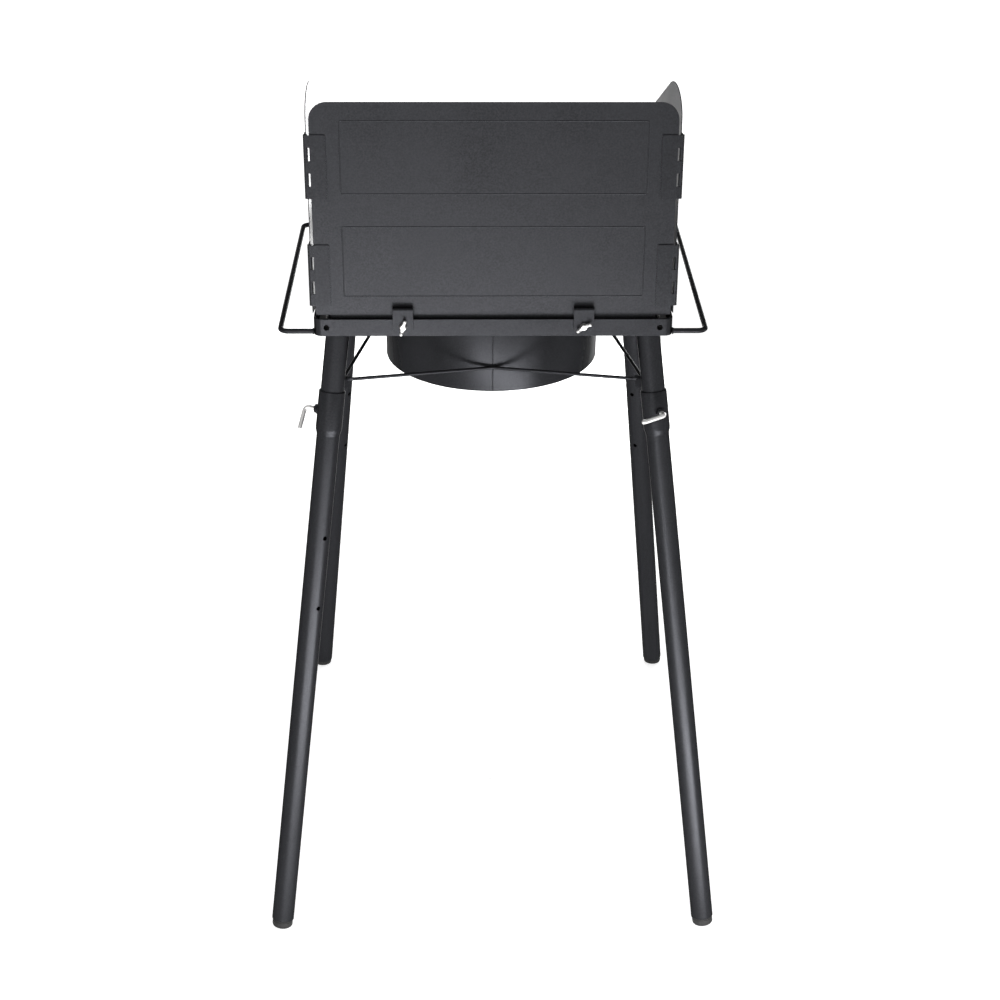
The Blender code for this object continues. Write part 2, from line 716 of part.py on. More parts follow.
def build_panel(parent):
    """Windscreen panel with embossed outlines; its foot goes down inside the rail."""
    face = PANEL_BACK - FRAME_D / 2
    hw = PANEL_W / 2
    top = RAIL_TOP + PANEL_H
    step = RAIL_TOP + PANEL_STEP_Z
    foot = RAIL_TOP - PANEL_FOOT
    quarter = math.pi / 2
    outline = [(-hw, foot), (hw, foot)]
    outline += arc(hw - PANEL_R, top - PANEL_R, PANEL_R, 0, quarter, CORNER)
    outline += arc(PANEL_R - hw, top - PANEL_R, PANEL_R, quarter, 2 * quarter, CORNER)
    sheet = prism(outline, face, face + SHEET_T, "xz")
    inner = hw - PANEL_STEP_W
    outer = hw + PANEL_STEP_W
    under = step - 2 * (step - foot)
    changes = []
    for sx in SIDES.values():
        notch = [(inner, step), (outer, step), (outer, under), (inner - 2 * PANEL_STEP_RUN, under)]
        cutter = prism([(sx * x, z) for x, z in notch], face - SHEET_T, face + 2 * SHEET_T, "xz")
        changes.append(("DIFFERENCE", cutter))
    for low, high in (BEAD_LOW, BEAD_HIGH):
        middle = RAIL_TOP + (low + high) / 2
        half = (high - low) / 2
        loops = []
        for grow, y in ((BEAD_HALF, face + SHEET_T / 2), (BEAD_HALF, face - BEAD_H / 4),
                        (BEAD_TOP_HALF, face - BEAD_H), (-BEAD_TOP_HALF, face - BEAD_H),
                        (-BEAD_HALF, face - BEAD_H / 4), (-BEAD_HALF, face + SHEET_T / 2)):
            ring = rounded(BEAD_W / 2 + grow, half + grow, BEAD_R + grow, CORNER)
            loops.append([(x, y, middle + z) for x, z in ring])
        changes.append(("UNION", looped(loops)))
    node("screen_panel", shaped(sheet, changes), "sheet", Matrix.Identity(4), parent)


def build_clips(parent):
    """Hooks over the rail with their wing screws."""
    hy = FRAME_D / 2
    outer = -hy - GAP - CLIP_T
    inner = PANEL_BACK - hy - GAP
    top = RAIL_TOP + CLIP_UP
    low = RAIL_TOP - CLIP_DOWN
    z = RAIL_TOP - SCREW_DROP
    outline = [(outer, low), (outer + CLIP_T, low), (outer + CLIP_T, top - CLIP_T), (inner - CLIP_T, top - CLIP_T),
               (inner - CLIP_T, low), (inner, low), (inner, top), (outer, top)]
    for side, sx in SIDES.items():
        x = sx * CLIP_X
        strap = prism(outline, x - CLIP_W / 2, x + CLIP_W / 2, "yz")
        hole = SCREW_R + SCREW_SLACK
        drill = at(along_y(rod(hole, -CLIP_T, CLIP_T + CLIP_T / 4, SMALL)), x, outer, z)
        node("screen_clip_%s" % side, shaped(strap, [("DIFFERENCE", drill)]), "black", Matrix.Identity(4), parent)

        hub_start = CLIP_T + 2 * GAP
        hub_end = hub_start + SCREW_HUB_H
        shank = solid(((SCREW_R, GAP), (SCREW_R, hub_start), (SCREW_HUB_R, hub_start),
                     (SCREW_HUB_R - SCREW_WING_T / 2, hub_end)), SMALL)
        half = SCREW_SPAN / 2
        rise = hub_start + SCREW_WING_T / 2
        crest = hub_start + SCREW_WING_H
        lobe = SCREW_HUB_R
        shape = [(-half + lobe, rise), (half - lobe, rise)]
        shape += arc(half - lobe / 2, crest - lobe / 2, lobe / 2, -math.pi / 4, math.pi / 2, CORNER)
        shape += [(half - lobe, crest), (SCREW_WING_T, hub_end - SCREW_WING_T / 2),
                  (-SCREW_WING_T, hub_end - SCREW_WING_T / 2), (lobe - half, crest)]
        shape += arc(lobe / 2 - half, crest - lobe / 2, lobe / 2, math.pi / 2, math.pi * 5 / 4, CORNER)
        wings = prism(shape, -SCREW_WING_T / 2, SCREW_WING_T / 2, "xz")
        turn = Matrix.Rotation(math.pi / 2, 4, "X") @ Matrix.Rotation(-SCREW_TILTS[side], 4, "Z")
        matrix = Matrix.Translation((x, -hy, z)) @ turn
        node("clip_screw_%s" % side, shaped(shank, [("UNION", wings)]), "zinc", matrix, parent)


def leaf_skin(moving):
    """One hinge leaf in a frame with the pin on Z and the leaf along +X, its outer face towards -Y."""
    plate_y = (HINGE_Y_MOVING if moving else HINGE_Y_FIXED)
    half = HINGE_LEN / 2
    start = HINGE_OUT + GAP
    plate = box((start, plate_y, -half), (HINGE_OUT + HINGE_LEAF, plate_y + SHEET_T, half))
    pitch = HINGE_LEN / KNUCKLES
    inset = SHEET_T / 10
    steps = []
    pin = [(PIN_R, -half - inset)]
    root = (PIN_R + KNUCKLE_R) / 2 if moving else PIN_R / 2
    for i in range(KNUCKLES):
        if (i % 2 == 1) != moving:
            continue
        z0 = i * pitch - half + GAP / 2
        z1 = (i + 1) * pitch - half - GAP / 2
        tab = box((root, plate_y + inset, z0 + inset), (start + SHEET_T, plate_y + SHEET_T - inset, z1 - inset))
        steps.append(("UNION", tab))
        if moving:
            bore = PIN_R + RUN
            steps.append(("UNION", hollow(((KNUCKLE_R, z0), (KNUCKLE_R, z1), (bore, z1), (bore, z0)), SMALL)))
        else:
            pin += [(PIN_R, z0), (KNUCKLE_R, z0), (KNUCKLE_R, z1), (PIN_R, z1)]
    if not moving:
        pin.append((PIN_R, half + inset))
        steps.append(("UNION", solid(pin, SMALL)))
    return shaped(plate, steps)


# Where the two leaves lie, seen from the pin
PIN_FROM_FACE = SHEET_T + SHEET_T / 2 + GAP
HINGE_Y_FIXED = -(PIN_FROM_FACE + GAP + SHEET_T)
HINGE_Y_MOVING = -(SHEET_T / 2 + GAP + SHEET_T)


def build_wings(parent):
    """Two wings with their hinge leaves, turned in a little at rest."""
    face = PANEL_BACK - FRAME_D / 2
    axis_y = face + PIN_FROM_FACE
    low = WING_LIFT
    peak = PANEL_H + WING_TIP
    y0 = HINGE_OUT
    y1 = HINGE_OUT + WING_LEN
    quarter = math.pi / 2
    centre_y = y0 + WING_R
    centre_z = peak - WING_R
    slope = math.tan(WING_SLOPE)
    front_centre = y1 - WING_NOSE_R
    drop = (front_centre - centre_y) * slope - (WING_R - WING_NOSE_R) / math.cos(WING_SLOPE)
    front_z = centre_z - drop
    outline = [(y0, low)]
    outline += arc(centre_y, centre_z, WING_R, math.pi, quarter - WING_SLOPE, CORNER)
    outline += arc(front_centre, front_z, WING_NOSE_R, quarter - WING_SLOPE, 0, CORNER)
    outline += arc(y1 - WING_FRONT_R, low + WING_FRONT_R, WING_FRONT_R, 0, -quarter, CORNER // 2)
    for side, sx in SIDES.items():
        axis_x = sx * (PANEL_W / 2 + HINGE_OUT)
        rest = Matrix.Translation((axis_x, axis_y, RAIL_TOP)) @ Matrix.Rotation(sx * WING_TOES[side], 4, "Z")
        turn = joint("wing_axis_%s" % side, rest, parent)
        sheet = prism(outline, -SHEET_T / 2, SHEET_T / 2, "yz")
        node("screen_wing_%s" % side, sheet, "sheet", Matrix.Identity(4), turn)
        for level, height in zip(("lower", "upper"), HINGE_Z):
            mirror = Matrix.Diagonal((-sx, 1, 1, 1))
            fixed = moved(leaf_skin(False), mirror)
            node("hinge_fixed_%s_%s" % (level, side), fixed, "sheet",
                 Matrix.Translation((axis_x, axis_y, RAIL_TOP + height)), parent)
            swing = Matrix.Diagonal((sx, 1, 1, 1)) @ Matrix.Rotation(quarter, 4, "Z")
            leaf = moved(leaf_skin(True), swing)
            node("hinge_moving_%s_%s" % (level, side), leaf, "sheet", Matrix.Translation((0, 0, height)), turn)


def build_legs():
    """Leg tubes with weld nut, clamp screw and rubber foot."""
    collar_in = TUBE_R + COLLAR_SLACK
    collar_out = collar_in + TUBE_WALL
    bore = TUBE_R - TUBE_WALL
    step = COLLAR_TOP + COLLAR_LEN
    nut_at = COLLAR_TOP + NUT_DROP
    shared = {}
    for end in ENDS:
        for side in SIDES:
            _, _, length = leg_frame(end, side)
            matrix = leg_matrix(end, side, NUT_AZIMUTH[end, side])
            slide = joint("leg_axis_%s_%s" % (end, side), matrix)
            if end not in shared:
                finish_at = length - FOOT_H
                tube = hollow(((collar_out, -COLLAR_TOP), (collar_in, -COLLAR_TOP), (collar_in, -step),
                               (bore, -step), (bore, -finish_at), (TUBE_R, -finish_at),
                               (TUBE_R, -step - COLLAR_TAPER), (collar_out, -step)), ROUND)
                hole = ROD_R + ROD_SLACK
                cuts = [("DIFFERENCE", at(along_x(rod(hole, TUBE_R / 2, TUBE_R * 2, SMALL)),
                                          0, 0, -nut_at))]
                for drop in LEG_HOLES:
                    drill = along_x(rod(LEG_HOLE_R, TUBE_R / 2, TUBE_R * 2, SMALL))
                    drill = moved(drill, Matrix.Rotation(LEG_HOLE_TURN, 4, "Z"))
                    cuts.append(("DIFFERENCE", at(drill, 0, 0, -drop)))
                skin = shaped(tube, cuts)
                shared[end] = node("leg_tube_%s_%s" % (end, side), skin, "black", Matrix.Identity(4), slide).data
            else:
                piece("leg_tube_%s_%s" % (end, side), shared[end], "black", Matrix.Identity(4), slide)

            nut = at(along_x(hex_nut(NUT_AF, NUT_H, hole)), collar_out + GAP, 0, 0)
            node("leg_nut_%s_%s" % (end, side), nut, "black", Matrix.Translation((0, 0, -nut_at)), slide)

            tip = TUBE_R + GAP
            reach = collar_out + NUT_H + ROD_OUT
            screw = wire(bend([(tip, 0, 0), (reach, 0, 0), (reach, 0, -ROD_ARM)], ROD_BEND, CORNER), ROD_R)
            turned = Matrix.Translation((0, 0, -nut_at)) @ Matrix.Rotation(-ARM_TURN[end, side], 4, "X")
            node("leg_screw_%s_%s" % (end, side), screw, "zinc", turned, slide)

            ground = length + FOOT_BELOW
            profile = [(FOOT_R - FOOT_ROUND * 1.5, -ground)]
            profile += [(FOOT_R - FOOT_ROUND + r, -ground + FOOT_ROUND + z)
                        for r, z in arc(0, 0, FOOT_ROUND, -math.pi / 2, 0, CORNER // 2)]
            profile += [(FOOT_R, GAP - length + FOOT_H - 2 * GAP), (bore - GAP, GAP - length + FOOT_H - 2 * GAP),
                        (bore - GAP, FOOT_PLUG - length + FOOT_H)]
            foot = solid(profile, ROUND)
            wide = FOOT_R * 4
            centre = matrix @ Vector((0, 0, -length))
            floor = box((centre.x - wide, centre.y - wide, -wide), (centre.x + wide, centre.y + wide, 0))
            skin = shaped(foot, [("DIFFERENCE", moved(floor, matrix.inverted()))])
            node("leg_foot_%s_%s" % (end, side), skin, "rubber", Matrix.Identity(4), slide)


def build():
    """Make every piece."""
    build_ring()
    build_stubs()
    build_braces()
    build_handles()
    build_drum()
    build_burner()
    build_valve()
    build_grate()
    screen = joint("screen_axis", Matrix.Identity(4))
    build_panel(screen)
    build_clips(screen)
    build_wings(screen)
    build_legs()
    bpy.context.view_layer.update()


empty_scene()
STOVE = bpy.data.collections.new("single_burner_stove")
bpy.context.scene.collection.children.link(STOVE)
build()
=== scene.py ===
import math

import bmesh
import bpy
from mathutils import Matrix, Vector


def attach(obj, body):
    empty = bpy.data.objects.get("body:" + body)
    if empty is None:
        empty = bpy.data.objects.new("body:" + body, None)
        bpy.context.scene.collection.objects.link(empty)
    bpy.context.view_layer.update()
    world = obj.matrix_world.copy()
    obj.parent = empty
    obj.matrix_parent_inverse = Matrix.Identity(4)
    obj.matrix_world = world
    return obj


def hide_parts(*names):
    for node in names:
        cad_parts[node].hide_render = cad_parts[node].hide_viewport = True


# Sizes in metres, the same as the solids
FRAME_W = 0.406
FRAME_D = 0.380
FRAME_CORNER_R = 0.009
FRAME_WALL = 0.0025
FLANGE_W = 0.022
FLANGE_CORNER = 0.040
RAIL_H = 0.0205
RAIL_BOTTOM = 0.738
RAIL_TOP = RAIL_BOTTOM + RAIL_H
RAIL_HOLE_R = 0.0031
RAIL_HOLE_INSET = 0.0146
GAP = 0.0003

# Legs
TUBE_R = 0.0135
TUBE_WALL = 0.0015
LEG_INSET = 0.026
LEG_SPREAD_X = {"rear": 0.085, "front": 0.075}
LEG_SPREAD_Y = 0.147
COLLAR_TOP = 0.0735
COLLAR_LEN = 0.0475
COLLAR_SLACK = 0.00025
COLLAR_TAPER = 0.004
SWAGE_START = 0.8
SWAGE_RUN = 2.2
TUBE_EDGE = 0.0004
LEG_HOLE_R = 0.0027
LEG_HOLES = (0.249, 0.336)
LEG_HOLE_TURN = math.radians(145)
NUT_DROP = 0.0245
NUT_AF = 0.0095
NUT_H = 0.0035
NUT_CHAMFER = math.radians(35)
NUT_FACE = 0.48
NUT_WELD = 0.56
ROD_R = 0.0026
ROD_SLACK = 0.0003
ROD_OUT = 0.0122
ROD_BEND = 0.005
ROD_ARM = 0.029
FOOT_H = 0.009
FOOT_R = 0.0125
FOOT_ROUND = 0.004
FOOT_BELOW = 0.0016
FOOT_PLUG = 0.015
FOOT_RIB = ((0, 0.0022), (0.0004, 0.0018), (0.0004, 0.0014), (0, 0.001), (0, 0.0003), (0.0003, 0))

# Braces and handles
BRACE_Z = RAIL_BOTTOM - 0.0635
BRACE_R = 0.002
BRACE_BEND = 0.012
BRACE_SIDE_CLEAR = 0.011
PLATE_T = 0.003
PLATE_H = 0.014
PLATE_OUT = 0.0125
PLATE_ROOT = 0.001
HANDLE_R = 0.003
HANDLE_OUT = 0.0385
HANDLE_END = 0.006
HANDLE_RISE = 0.004
HANDLE_BEND = 0.0095

# Drum and burner
DRUM_R = 0.1295
DRUM_WALL = 0.0015
DRUM_BOTTOM = RAIL_BOTTOM - 0.095
DRUM_TOP = RAIL_BOTTOM - 0.0034
STRIP_RISE = 0.018
STRIP_T = 0.0025
STRIP_W = 0.020
STRIP_END_H = 0.015
BOWL_R = 0.048
BOWL_WALL = 0.004
BOWL_H = 0.041
MIX_Z = DRUM_BOTTOM + 0.049
MIX_R = 0.010
MIX_WALL = 0.002
MIX_MOUTH = DRUM_R + 0.0235
MIX_SLACK = 0.0006
CAP_R = 0.050
CAP_H = 0.008
CAP_PORTS = 20
CAP_PORT_R = 0.00175
CAP_PORT_RING = 0.036
BOLT_R = 0.003
BOLT_HEAD_R = 0.0055
BOLT_HEAD_H = 0.004
RUN = 0.00009

# Shutter, jet and valve
SHUTTER_WALL = 0.0012
SHUTTER_LEN = 0.014
SHUTTER_HOLE = 0.0025
SHUTTER_HOLE_RING = 0.0074
JET_R = 0.004
JET_TIP_R = 0.002
JET_TIP = 0.004
JET_IN = 0.003
JET_SLACK = 0.0003
JET_EDGE = 0.0006
BRACKET_T = 0.0015
BRACKET_INSET = 0.002
BRACKET_W = 0.070
BRACKET_BELOW = 0.022
BRACKET_TAB = 0.014
VALVE_R = 0.009
VALVE_LEN = 0.0244
VALVE_NOSE = 0.0015
VALVE_EDGE = 0.001
WAIST_OUTER = 0.004
WAIST_INNER = 0.003
NECK_R = 0.005
NECK_SLACK = 0.0004
NECK_OUT = 0.006
NECK_BORE = 0.008
VALVE_NUT_AF = 0.015
VALVE_NUT_H = 0.003
BOSS_R = 0.007
BOSS_DROP = 0.013
INLET_R = 0.006
INLET_BORE = 0.003
INLET_LEN = 0.016
INLET_EDGE = 0.0005
INLET_LEAD = 0.0008
STEM_R = 0.003
KNOB_R = 0.017
KNOB_H = 0.018
KNOB_STAND = 0.0015
KNOB_GRIP = 0.009
KNOB_GRIP_W = 0.007
KNOB_EDGE = 0.0004
FLUTE_R = 0.0008
FLUTE_OUT = 0.0003
MARK_HALF = 0.0004
MARK_DEEP = 0.0003
MARK_OUT = 0.001

# Cooking grate
GRATE_H = 0.012
GRATE_SIDE_CLEAR = 0.003
GRATE_REAR_CLEAR = 0.0095
GRATE_BAR = 0.008
GRATE_SLOTS = 8
GRATE_R = 0.004
GRATE_SLOT_R = 0.003

# Windscreen
SHEET_T = 0.001
PANEL_W = 0.400
PANEL_H = 0.247
PANEL_BACK = 0.006
PANEL_R = 0.020
PANEL_FOOT = 0.015
PANEL_STEP_W = 0.017
PANEL_STEP_RUN = 0.002
PANEL_STEP_Z = 0.003
PANEL_LIP = 0.0025
BEAD_W = 0.335
BEADS = ((0.0253, 0.1069), (0.1445, 0.2265))
BEAD_R = 0.0022
BEAD_HALF = 0.0007
BEAD_DEEP = 0.0004
HINGE_LEN = 0.072
HINGE_Z = {"lower": 0.050, "upper": 0.175}
HINGE_OUT = 0.0042
HINGE_LEAF = 0.0175
HINGE_CORNER = 0.0012
KNUCKLE_R = 0.0026
KNUCKLES = 5
PIN_R = 0.0013
PIN_FROM_FACE = SHEET_T + SHEET_T / 2 + GAP
WING_LEN = 0.198
WING_LIFT = 0.0028
WING_TIP = 0.0117
WING_R = 0.033
WING_NOSE_R = 0.015
WING_FRONT_R = 0.003
WING_SLOPE = math.radians(32.9)
WING_TOES = {"left": math.radians(4.3), "right": math.radians(10.1)}
CLIP_X = 0.102
CLIP_W = 0.023
CLIP_T = 0.002
CLIP_UP = 0.0135
CLIP_DOWN = 0.013
CLIP_CORNER = 0.0025
SCREW_DROP = 0.008
SCREW_R = 0.0025
SCREW_SLACK = 0.0003
SCREW_HUB_R = 0.0045
SCREW_HUB_H = 0.005
SCREW_SPAN = 0.0225
SCREW_WING_T = 0.0024
SCREW_WING_H = 0.009
SCREW_HUB_EDGE = 0.0006
SCREW_NOSE_R = 0.001
SCREW_BEND = 0.003
SCREW_FLARE = 0.0012
SCREW_TILTS = {"left": math.radians(106), "right": math.radians(150)}

# Weld beads and threads
WELD_R = 0.0013
WELD_STEP = 0.0009
WELD_RIPPLE = 0.16
WELD_PHASE = 2.2
WELD_DRIFT = 0.5
WELD_DRIFT_PACE = 0.7
WELD_END = 0.55
SEAM_R = 0.0008
WELD_SINK = 0.0002
SEAM_INSET = 0.001
TACK_HALF = 0.005
PLATE_TACK = 0.006
THREAD_PITCH = 0.0008
THREAD_DEEP = 0.07
THREAD_ROOT = 0.93
THREAD_LEAD = 0.0006

# Rounding of edges in the skins
EDGE_RING = 0.0006
EDGE_STRAP = 0.0005
EDGE_BOWL = 0.0004
EDGE_PLATE = 0.0003
EDGE_SMALL = 0.0002
EDGE_CUP = 0.00015
EDGE_LEAF = 0.00012
EDGE_GRATE = 0.0012
EDGE_STEPS = 3

# Segment counts, and the bevel resolution of wires
ROUND = 64
SMALL = 32
RIM = 6
FOLD = 5
DOME = 6
FLUTES = 24
FLUTE_STEPS = 12
HANDLE_WELD_STEPS = 20
NUT_WELD_STEPS = 24
SWAGE_STEPS = 8
CORNER = 10
DRUM_STEPS = 192
WIRE = 8

# Share of a quarter turn that a wire's round end covers
DOME_TURN = 0.98

# Merge distance, the angles that still count as flat and already as sharp, and the steps of a shape
MERGE = 0.000001
FLAT = math.radians(0.1)
SHARP = math.radians(32)
CUT = "DIFFERENCE"
ADD = "UNION"
QUARTER = math.pi / 2

# How an outline's plane is turned
PLANES = {
    "xy": Matrix.Identity(4),
    "xz": Matrix.Rotation(QUARTER, 4, "X") @ Matrix.Diagonal((1, 1, -1, 1)),
    "yz": Matrix(((0, 0, 1, 0), (1, 0, 0, 0), (0, 1, 0, 0), (0, 0, 0, 1))),
}

SIDES = {"left": -1, "right": 1}
ENDS = {"rear": -1, "front": 1}
NUT_AZIMUTH = {
    ("rear", "left"): math.radians(-108),
    ("rear", "right"): math.radians(17),
    ("front", "left"): math.radians(-92),
    ("front", "right"): math.radians(-175),
}
ARM_TURN = {
    ("rear", "left"): math.radians(-28),
    ("rear", "right"): math.radians(82),
    ("front", "left"): 0.0,
    ("front", "right"): 0.0,
}

# Camera of the photograph
CAMERA_AT = (-0.02862, -2.24257, 1.57428)
CAMERA_PITCH = 0.470594
CAMERA_YAW = 0.018046
CAMERA_ROLL = 0.005259
CAMERA_PIXELS = 1952.19
CAMERA_REACH = (0.05, 60)
SENSOR = 36.0
IMAGE = 1000

# Finishes: drift of the tone over a surface, its spread of roughness, rubbed edges, and the coats' tint
DRIFT = 14.0
DRIFT_TONE = 1.25
SMOOTHER = 0.04
ROUGHER = 0.05
WORN = (0.53, 0.62)
WORN_TONE = 2.2
COOL = (0.96, 0.98, 1.08)

# Light: strength of the sky overhead and at the sides, the floor with its far sweep, and the lamps as
# name, place, size, power and aim
SKY_TOP = 0.95
SKY_SIDE = 0.10
SKY_FROM = 0.45
SKY_TO = 0.80
FLOOR_PALE = 0.85
FLOOR_GLOW = 0.6
FLOOR_NEAR = 1.6
FLOOR_FAR = 3.2
FLOOR_R = 7.0
FLOOR_EYE = 0.001
FLOOR_SINK = 0.0005
SWEEP_R = 4.0
SWEEP_END = -math.pi / 12
SWEEP_STEPS = 12
LAMPS = (
    ("low", (0.02, -1.15, 0.095), (1.4, 0.16), 20, (-1.0, 0, 0.3)),
    ("rear", (-0.9, -2.4, 1.5), (1.4, 1.4), 13, (0, 0, 0.7)),
    ("front", (0.5, 1.6, 0.4), (1.6, 0.7), 26, (0.1, 0, 0.5)),
)

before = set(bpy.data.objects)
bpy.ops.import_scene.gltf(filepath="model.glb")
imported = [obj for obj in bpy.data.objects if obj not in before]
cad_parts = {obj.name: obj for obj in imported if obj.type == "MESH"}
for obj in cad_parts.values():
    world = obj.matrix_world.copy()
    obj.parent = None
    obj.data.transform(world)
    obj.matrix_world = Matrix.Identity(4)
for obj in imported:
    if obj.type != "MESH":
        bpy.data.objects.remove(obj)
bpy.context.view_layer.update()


def make_camera():
    """Camera at the photograph's place."""
    data = bpy.data.cameras.new("camera")
    data.sensor_width = SENSOR
    data.lens = CAMERA_PIXELS * SENSOR / IMAGE
    data.clip_start, data.clip_end = CAMERA_REACH
    camera = bpy.data.objects.new("camera", data)
    bpy.context.scene.collection.objects.link(camera)
    bpy.context.scene.camera = camera
    pitch, yaw, roll = CAMERA_PITCH, CAMERA_YAW, CAMERA_ROLL
    ahead = Vector((math.sin(yaw) * math.cos(pitch), math.cos(yaw) * math.cos(pitch), -math.sin(pitch)))
    right = Vector((math.cos(yaw), -math.sin(yaw), 0))
    up = right.cross(ahead)
    x = right * math.cos(roll) + up * math.sin(roll)
    z = -ahead
    turn = Matrix((x, z.cross(x), z)).transposed().to_4x4()
    camera.matrix_world = Matrix.Translation(CAMERA_AT) @ turn


# Shapes


def arc(cx, cy, r, start, end, steps):
    """Points on an arc."""
    turn = (end - start) / steps
    return [(cx + r * math.cos(start + i * turn), cy + r * math.sin(start + i * turn)) for i in range(steps + 1)]


def rounded(hx, hy, r, steps):
    """Outline of a rectangle with rounded corners, centred on the origin."""
    points = []
    for k, (sx, sy) in enumerate(((1, 1), (-1, 1), (-1, -1), (1, -1))):
        points += arc(sx * (hx - r), sy * (hy - r), r, k * QUARTER, (k + 1) * QUARTER, steps)
    return points


def chamfered(hx, hy, cut):
    """Outline of a rectangle with cut corners, centred on the origin."""
    points = []
    for sx, sy in ((1, 1), (-1, 1), (-1, -1), (1, -1)):
        corner = [(sx * hx, sy * (hy - cut)), (sx * (hx - cut), sy * hy)]
        points += corner if sx == sy else corner[::-1]
    return points


def working(name, data):
    """Working object on a mesh or a curve."""
    obj = bpy.data.objects.new(name, data)
    bpy.context.scene.collection.objects.link(obj)
    return obj


def baked(obj, tools=()):
    """Skin of a working object as its modifiers leave it; the object and its tools go."""
    bpy.context.view_layer.update()
    graph = bpy.context.evaluated_depsgraph_get()
    mesh = bpy.data.meshes.new_from_object(obj.evaluated_get(graph))
    bm = bmesh.new()
    bm.from_mesh(mesh)
    bpy.data.meshes.remove(mesh)
    for used in (obj, *tools):
        bpy.data.objects.remove(used, do_unlink=True)
    return bm


def tidied(bm):
    """The same skin with its loose seams welded and its faces pointing out."""
    bmesh.ops.remove_doubles(bm, verts=bm.verts, dist=MERGE)
    bmesh.ops.recalc_face_normals(bm, faces=bm.faces)
    return bm


def moved(bm, matrix):
    """The same skin under a matrix."""
    bmesh.ops.transform(bm, matrix=matrix, verts=bm.verts)
    if matrix.determinant() < 0:
        bmesh.ops.reverse_faces(bm, faces=bm.faces)
    return bm


def along_y(bm):
    """Turn a body about Z into one about Y, with +Z going to +Y."""
    return moved(bm, Matrix.Rotation(-QUARTER, 4, "X"))


def along_x(bm):
    """Turn a body about Z into one about X, with +Z going to +X."""
    return moved(bm, Matrix.Rotation(QUARTER, 4, "Y"))


def at(bm, x, y, z):
    """Shift a skin."""
    return moved(bm, Matrix.Translation((x, y, z)))


def box(low, high):
    """Box between two corners, for cuts and joins."""
    low, high = Vector(low), Vector(high)
    bm = bmesh.new()
    bmesh.ops.create_cube(bm, size=1, matrix=Matrix.LocRotScale((low + high) / 2, None, high - low))
    return bm


def rod(radius, low, high, steps):
    """Round rod about Z, for cuts and joins."""
    bm = bmesh.new()
    bmesh.ops.create_cone(bm, cap_ends=True, segments=steps, radius1=radius, radius2=radius, depth=high - low,
                          matrix=Matrix.Translation((0, 0, (low + high) / 2)))
    return bm


def turned(profile, steps, ring):
    """Skin of revolution about Z: (radius, z) pairs under a Screw modifier, as a ring or end to end."""
    count = len(profile)
    edges = [(i, (i + 1) % count) for i in range(count if ring else count - 1)]
    mesh = bpy.data.meshes.new("profile")
    mesh.from_pydata([(r, 0, z) for r, z in profile], edges, [])
    obj = working("turned", mesh)
    screw = obj.modifiers.new("screw", "SCREW")
    screw.steps = steps
    screw.render_steps = steps
    return baked(obj)


def solid(profile, steps):
    """Solid of revolution about Z, with flat ends."""
    bm = turned(profile, steps, False)
    bmesh.ops.holes_fill(bm, edges=[edge for edge in bm.edges if edge.is_boundary], sides=steps)
    return tidied(bm)


def hollow(profile, steps):
    """Hollow body of revolution about Z from a closed (radius, z) outline."""
    return tidied(turned(profile, steps, True))


def prism(outline, low, high, plane):
    """Flat outline given thickness from low to high along the axis that the plane leaves out."""
    curve = bpy.data.curves.new("outline", "CURVE")
    curve.dimensions = "2D"
    curve.fill_mode = "BOTH"
    curve.extrude = (high - low) / 2
    spline = curve.splines.new("POLY")
    spline.points.add(len(outline) - 1)
    for point, (a, b) in zip(spline.points, outline):
        point.co = (a, b, 0, 1)
    spline.use_cyclic_u = True
    bm = tidied(baked(working("prism", curve)))
    bmesh.ops.dissolve_limit(bm, angle_limit=FLAT, verts=bm.verts, edges=bm.edges)
    return moved(bm, PLANES[plane] @ Matrix.Translation((0, 0, (low + high) / 2)))


def looped(loops):
    """Closed skin over loops of equal length, each joined to the next and the last to the first."""
    bm = bmesh.new()
    rows = [[bm.verts.new(place) for place in loop] for loop in loops]
    for a, b in zip(rows, rows[1:] + rows[:1]):
        for i in range(len(a)):
            bm.faces.new((a[i - 1], a[i], b[i], b[i - 1]))
    bmesh.ops.recalc_face_normals(bm, faces=bm.faces)
    return bm


def bend(points, radius, steps):
    """Polyline with its inner corners rounded."""
    pts = [Vector(p) for p in points]
    path = [pts[0]]
    for before, corner, after in zip(pts, pts[1:], pts[2:]):
        a = (before - corner).normalized()
        b = (after - corner).normalized()
        half = a.angle(b) / 2
        centre = corner + (a + b).normalized() * (radius / math.sin(half))
        start = corner + a * (radius / math.tan(half)) - centre
        end = corner + b * (radius / math.tan(half)) - centre
        for i in range(steps + 1):
            path.append(centre + start.slerp(end, i / steps).normalized() * radius)
    path.append(pts[-1])
    return path


def wire(path, radius, swell=None, ring=False):
    """Round wire along a path, with a radius factor at each point where swell gives them."""
    curve = bpy.data.curves.new("wire", "CURVE")
    curve.dimensions = "3D"
    curve.bevel_depth = radius
    curve.bevel_resolution = WIRE
    curve.use_fill_caps = not ring
    spline = curve.splines.new("POLY")
    spline.points.add(len(path) - 1)
    for i, (point, place) in enumerate(zip(spline.points, path)):
        point.co = (*place, 1)
        if swell:
            point.radius = swell[i]
    spline.use_cyclic_u = ring
    return tidied(baked(working("wire", curve)))


def domed(path, radius):
    """Path and radius factors of a wire whose last end is a half ball inside the path's length."""
    ahead = (path[-1] - path[-2]).normalized()
    end = path[-1] - ahead * radius
    points = path[:-1]
    swell = [1.0] * len(points)
    for i in range(DOME + 1):
        turn = i / DOME * QUARTER * DOME_TURN
        points.append(end + ahead * radius * math.sin(turn))
        swell.append(math.cos(turn))
    return points, swell


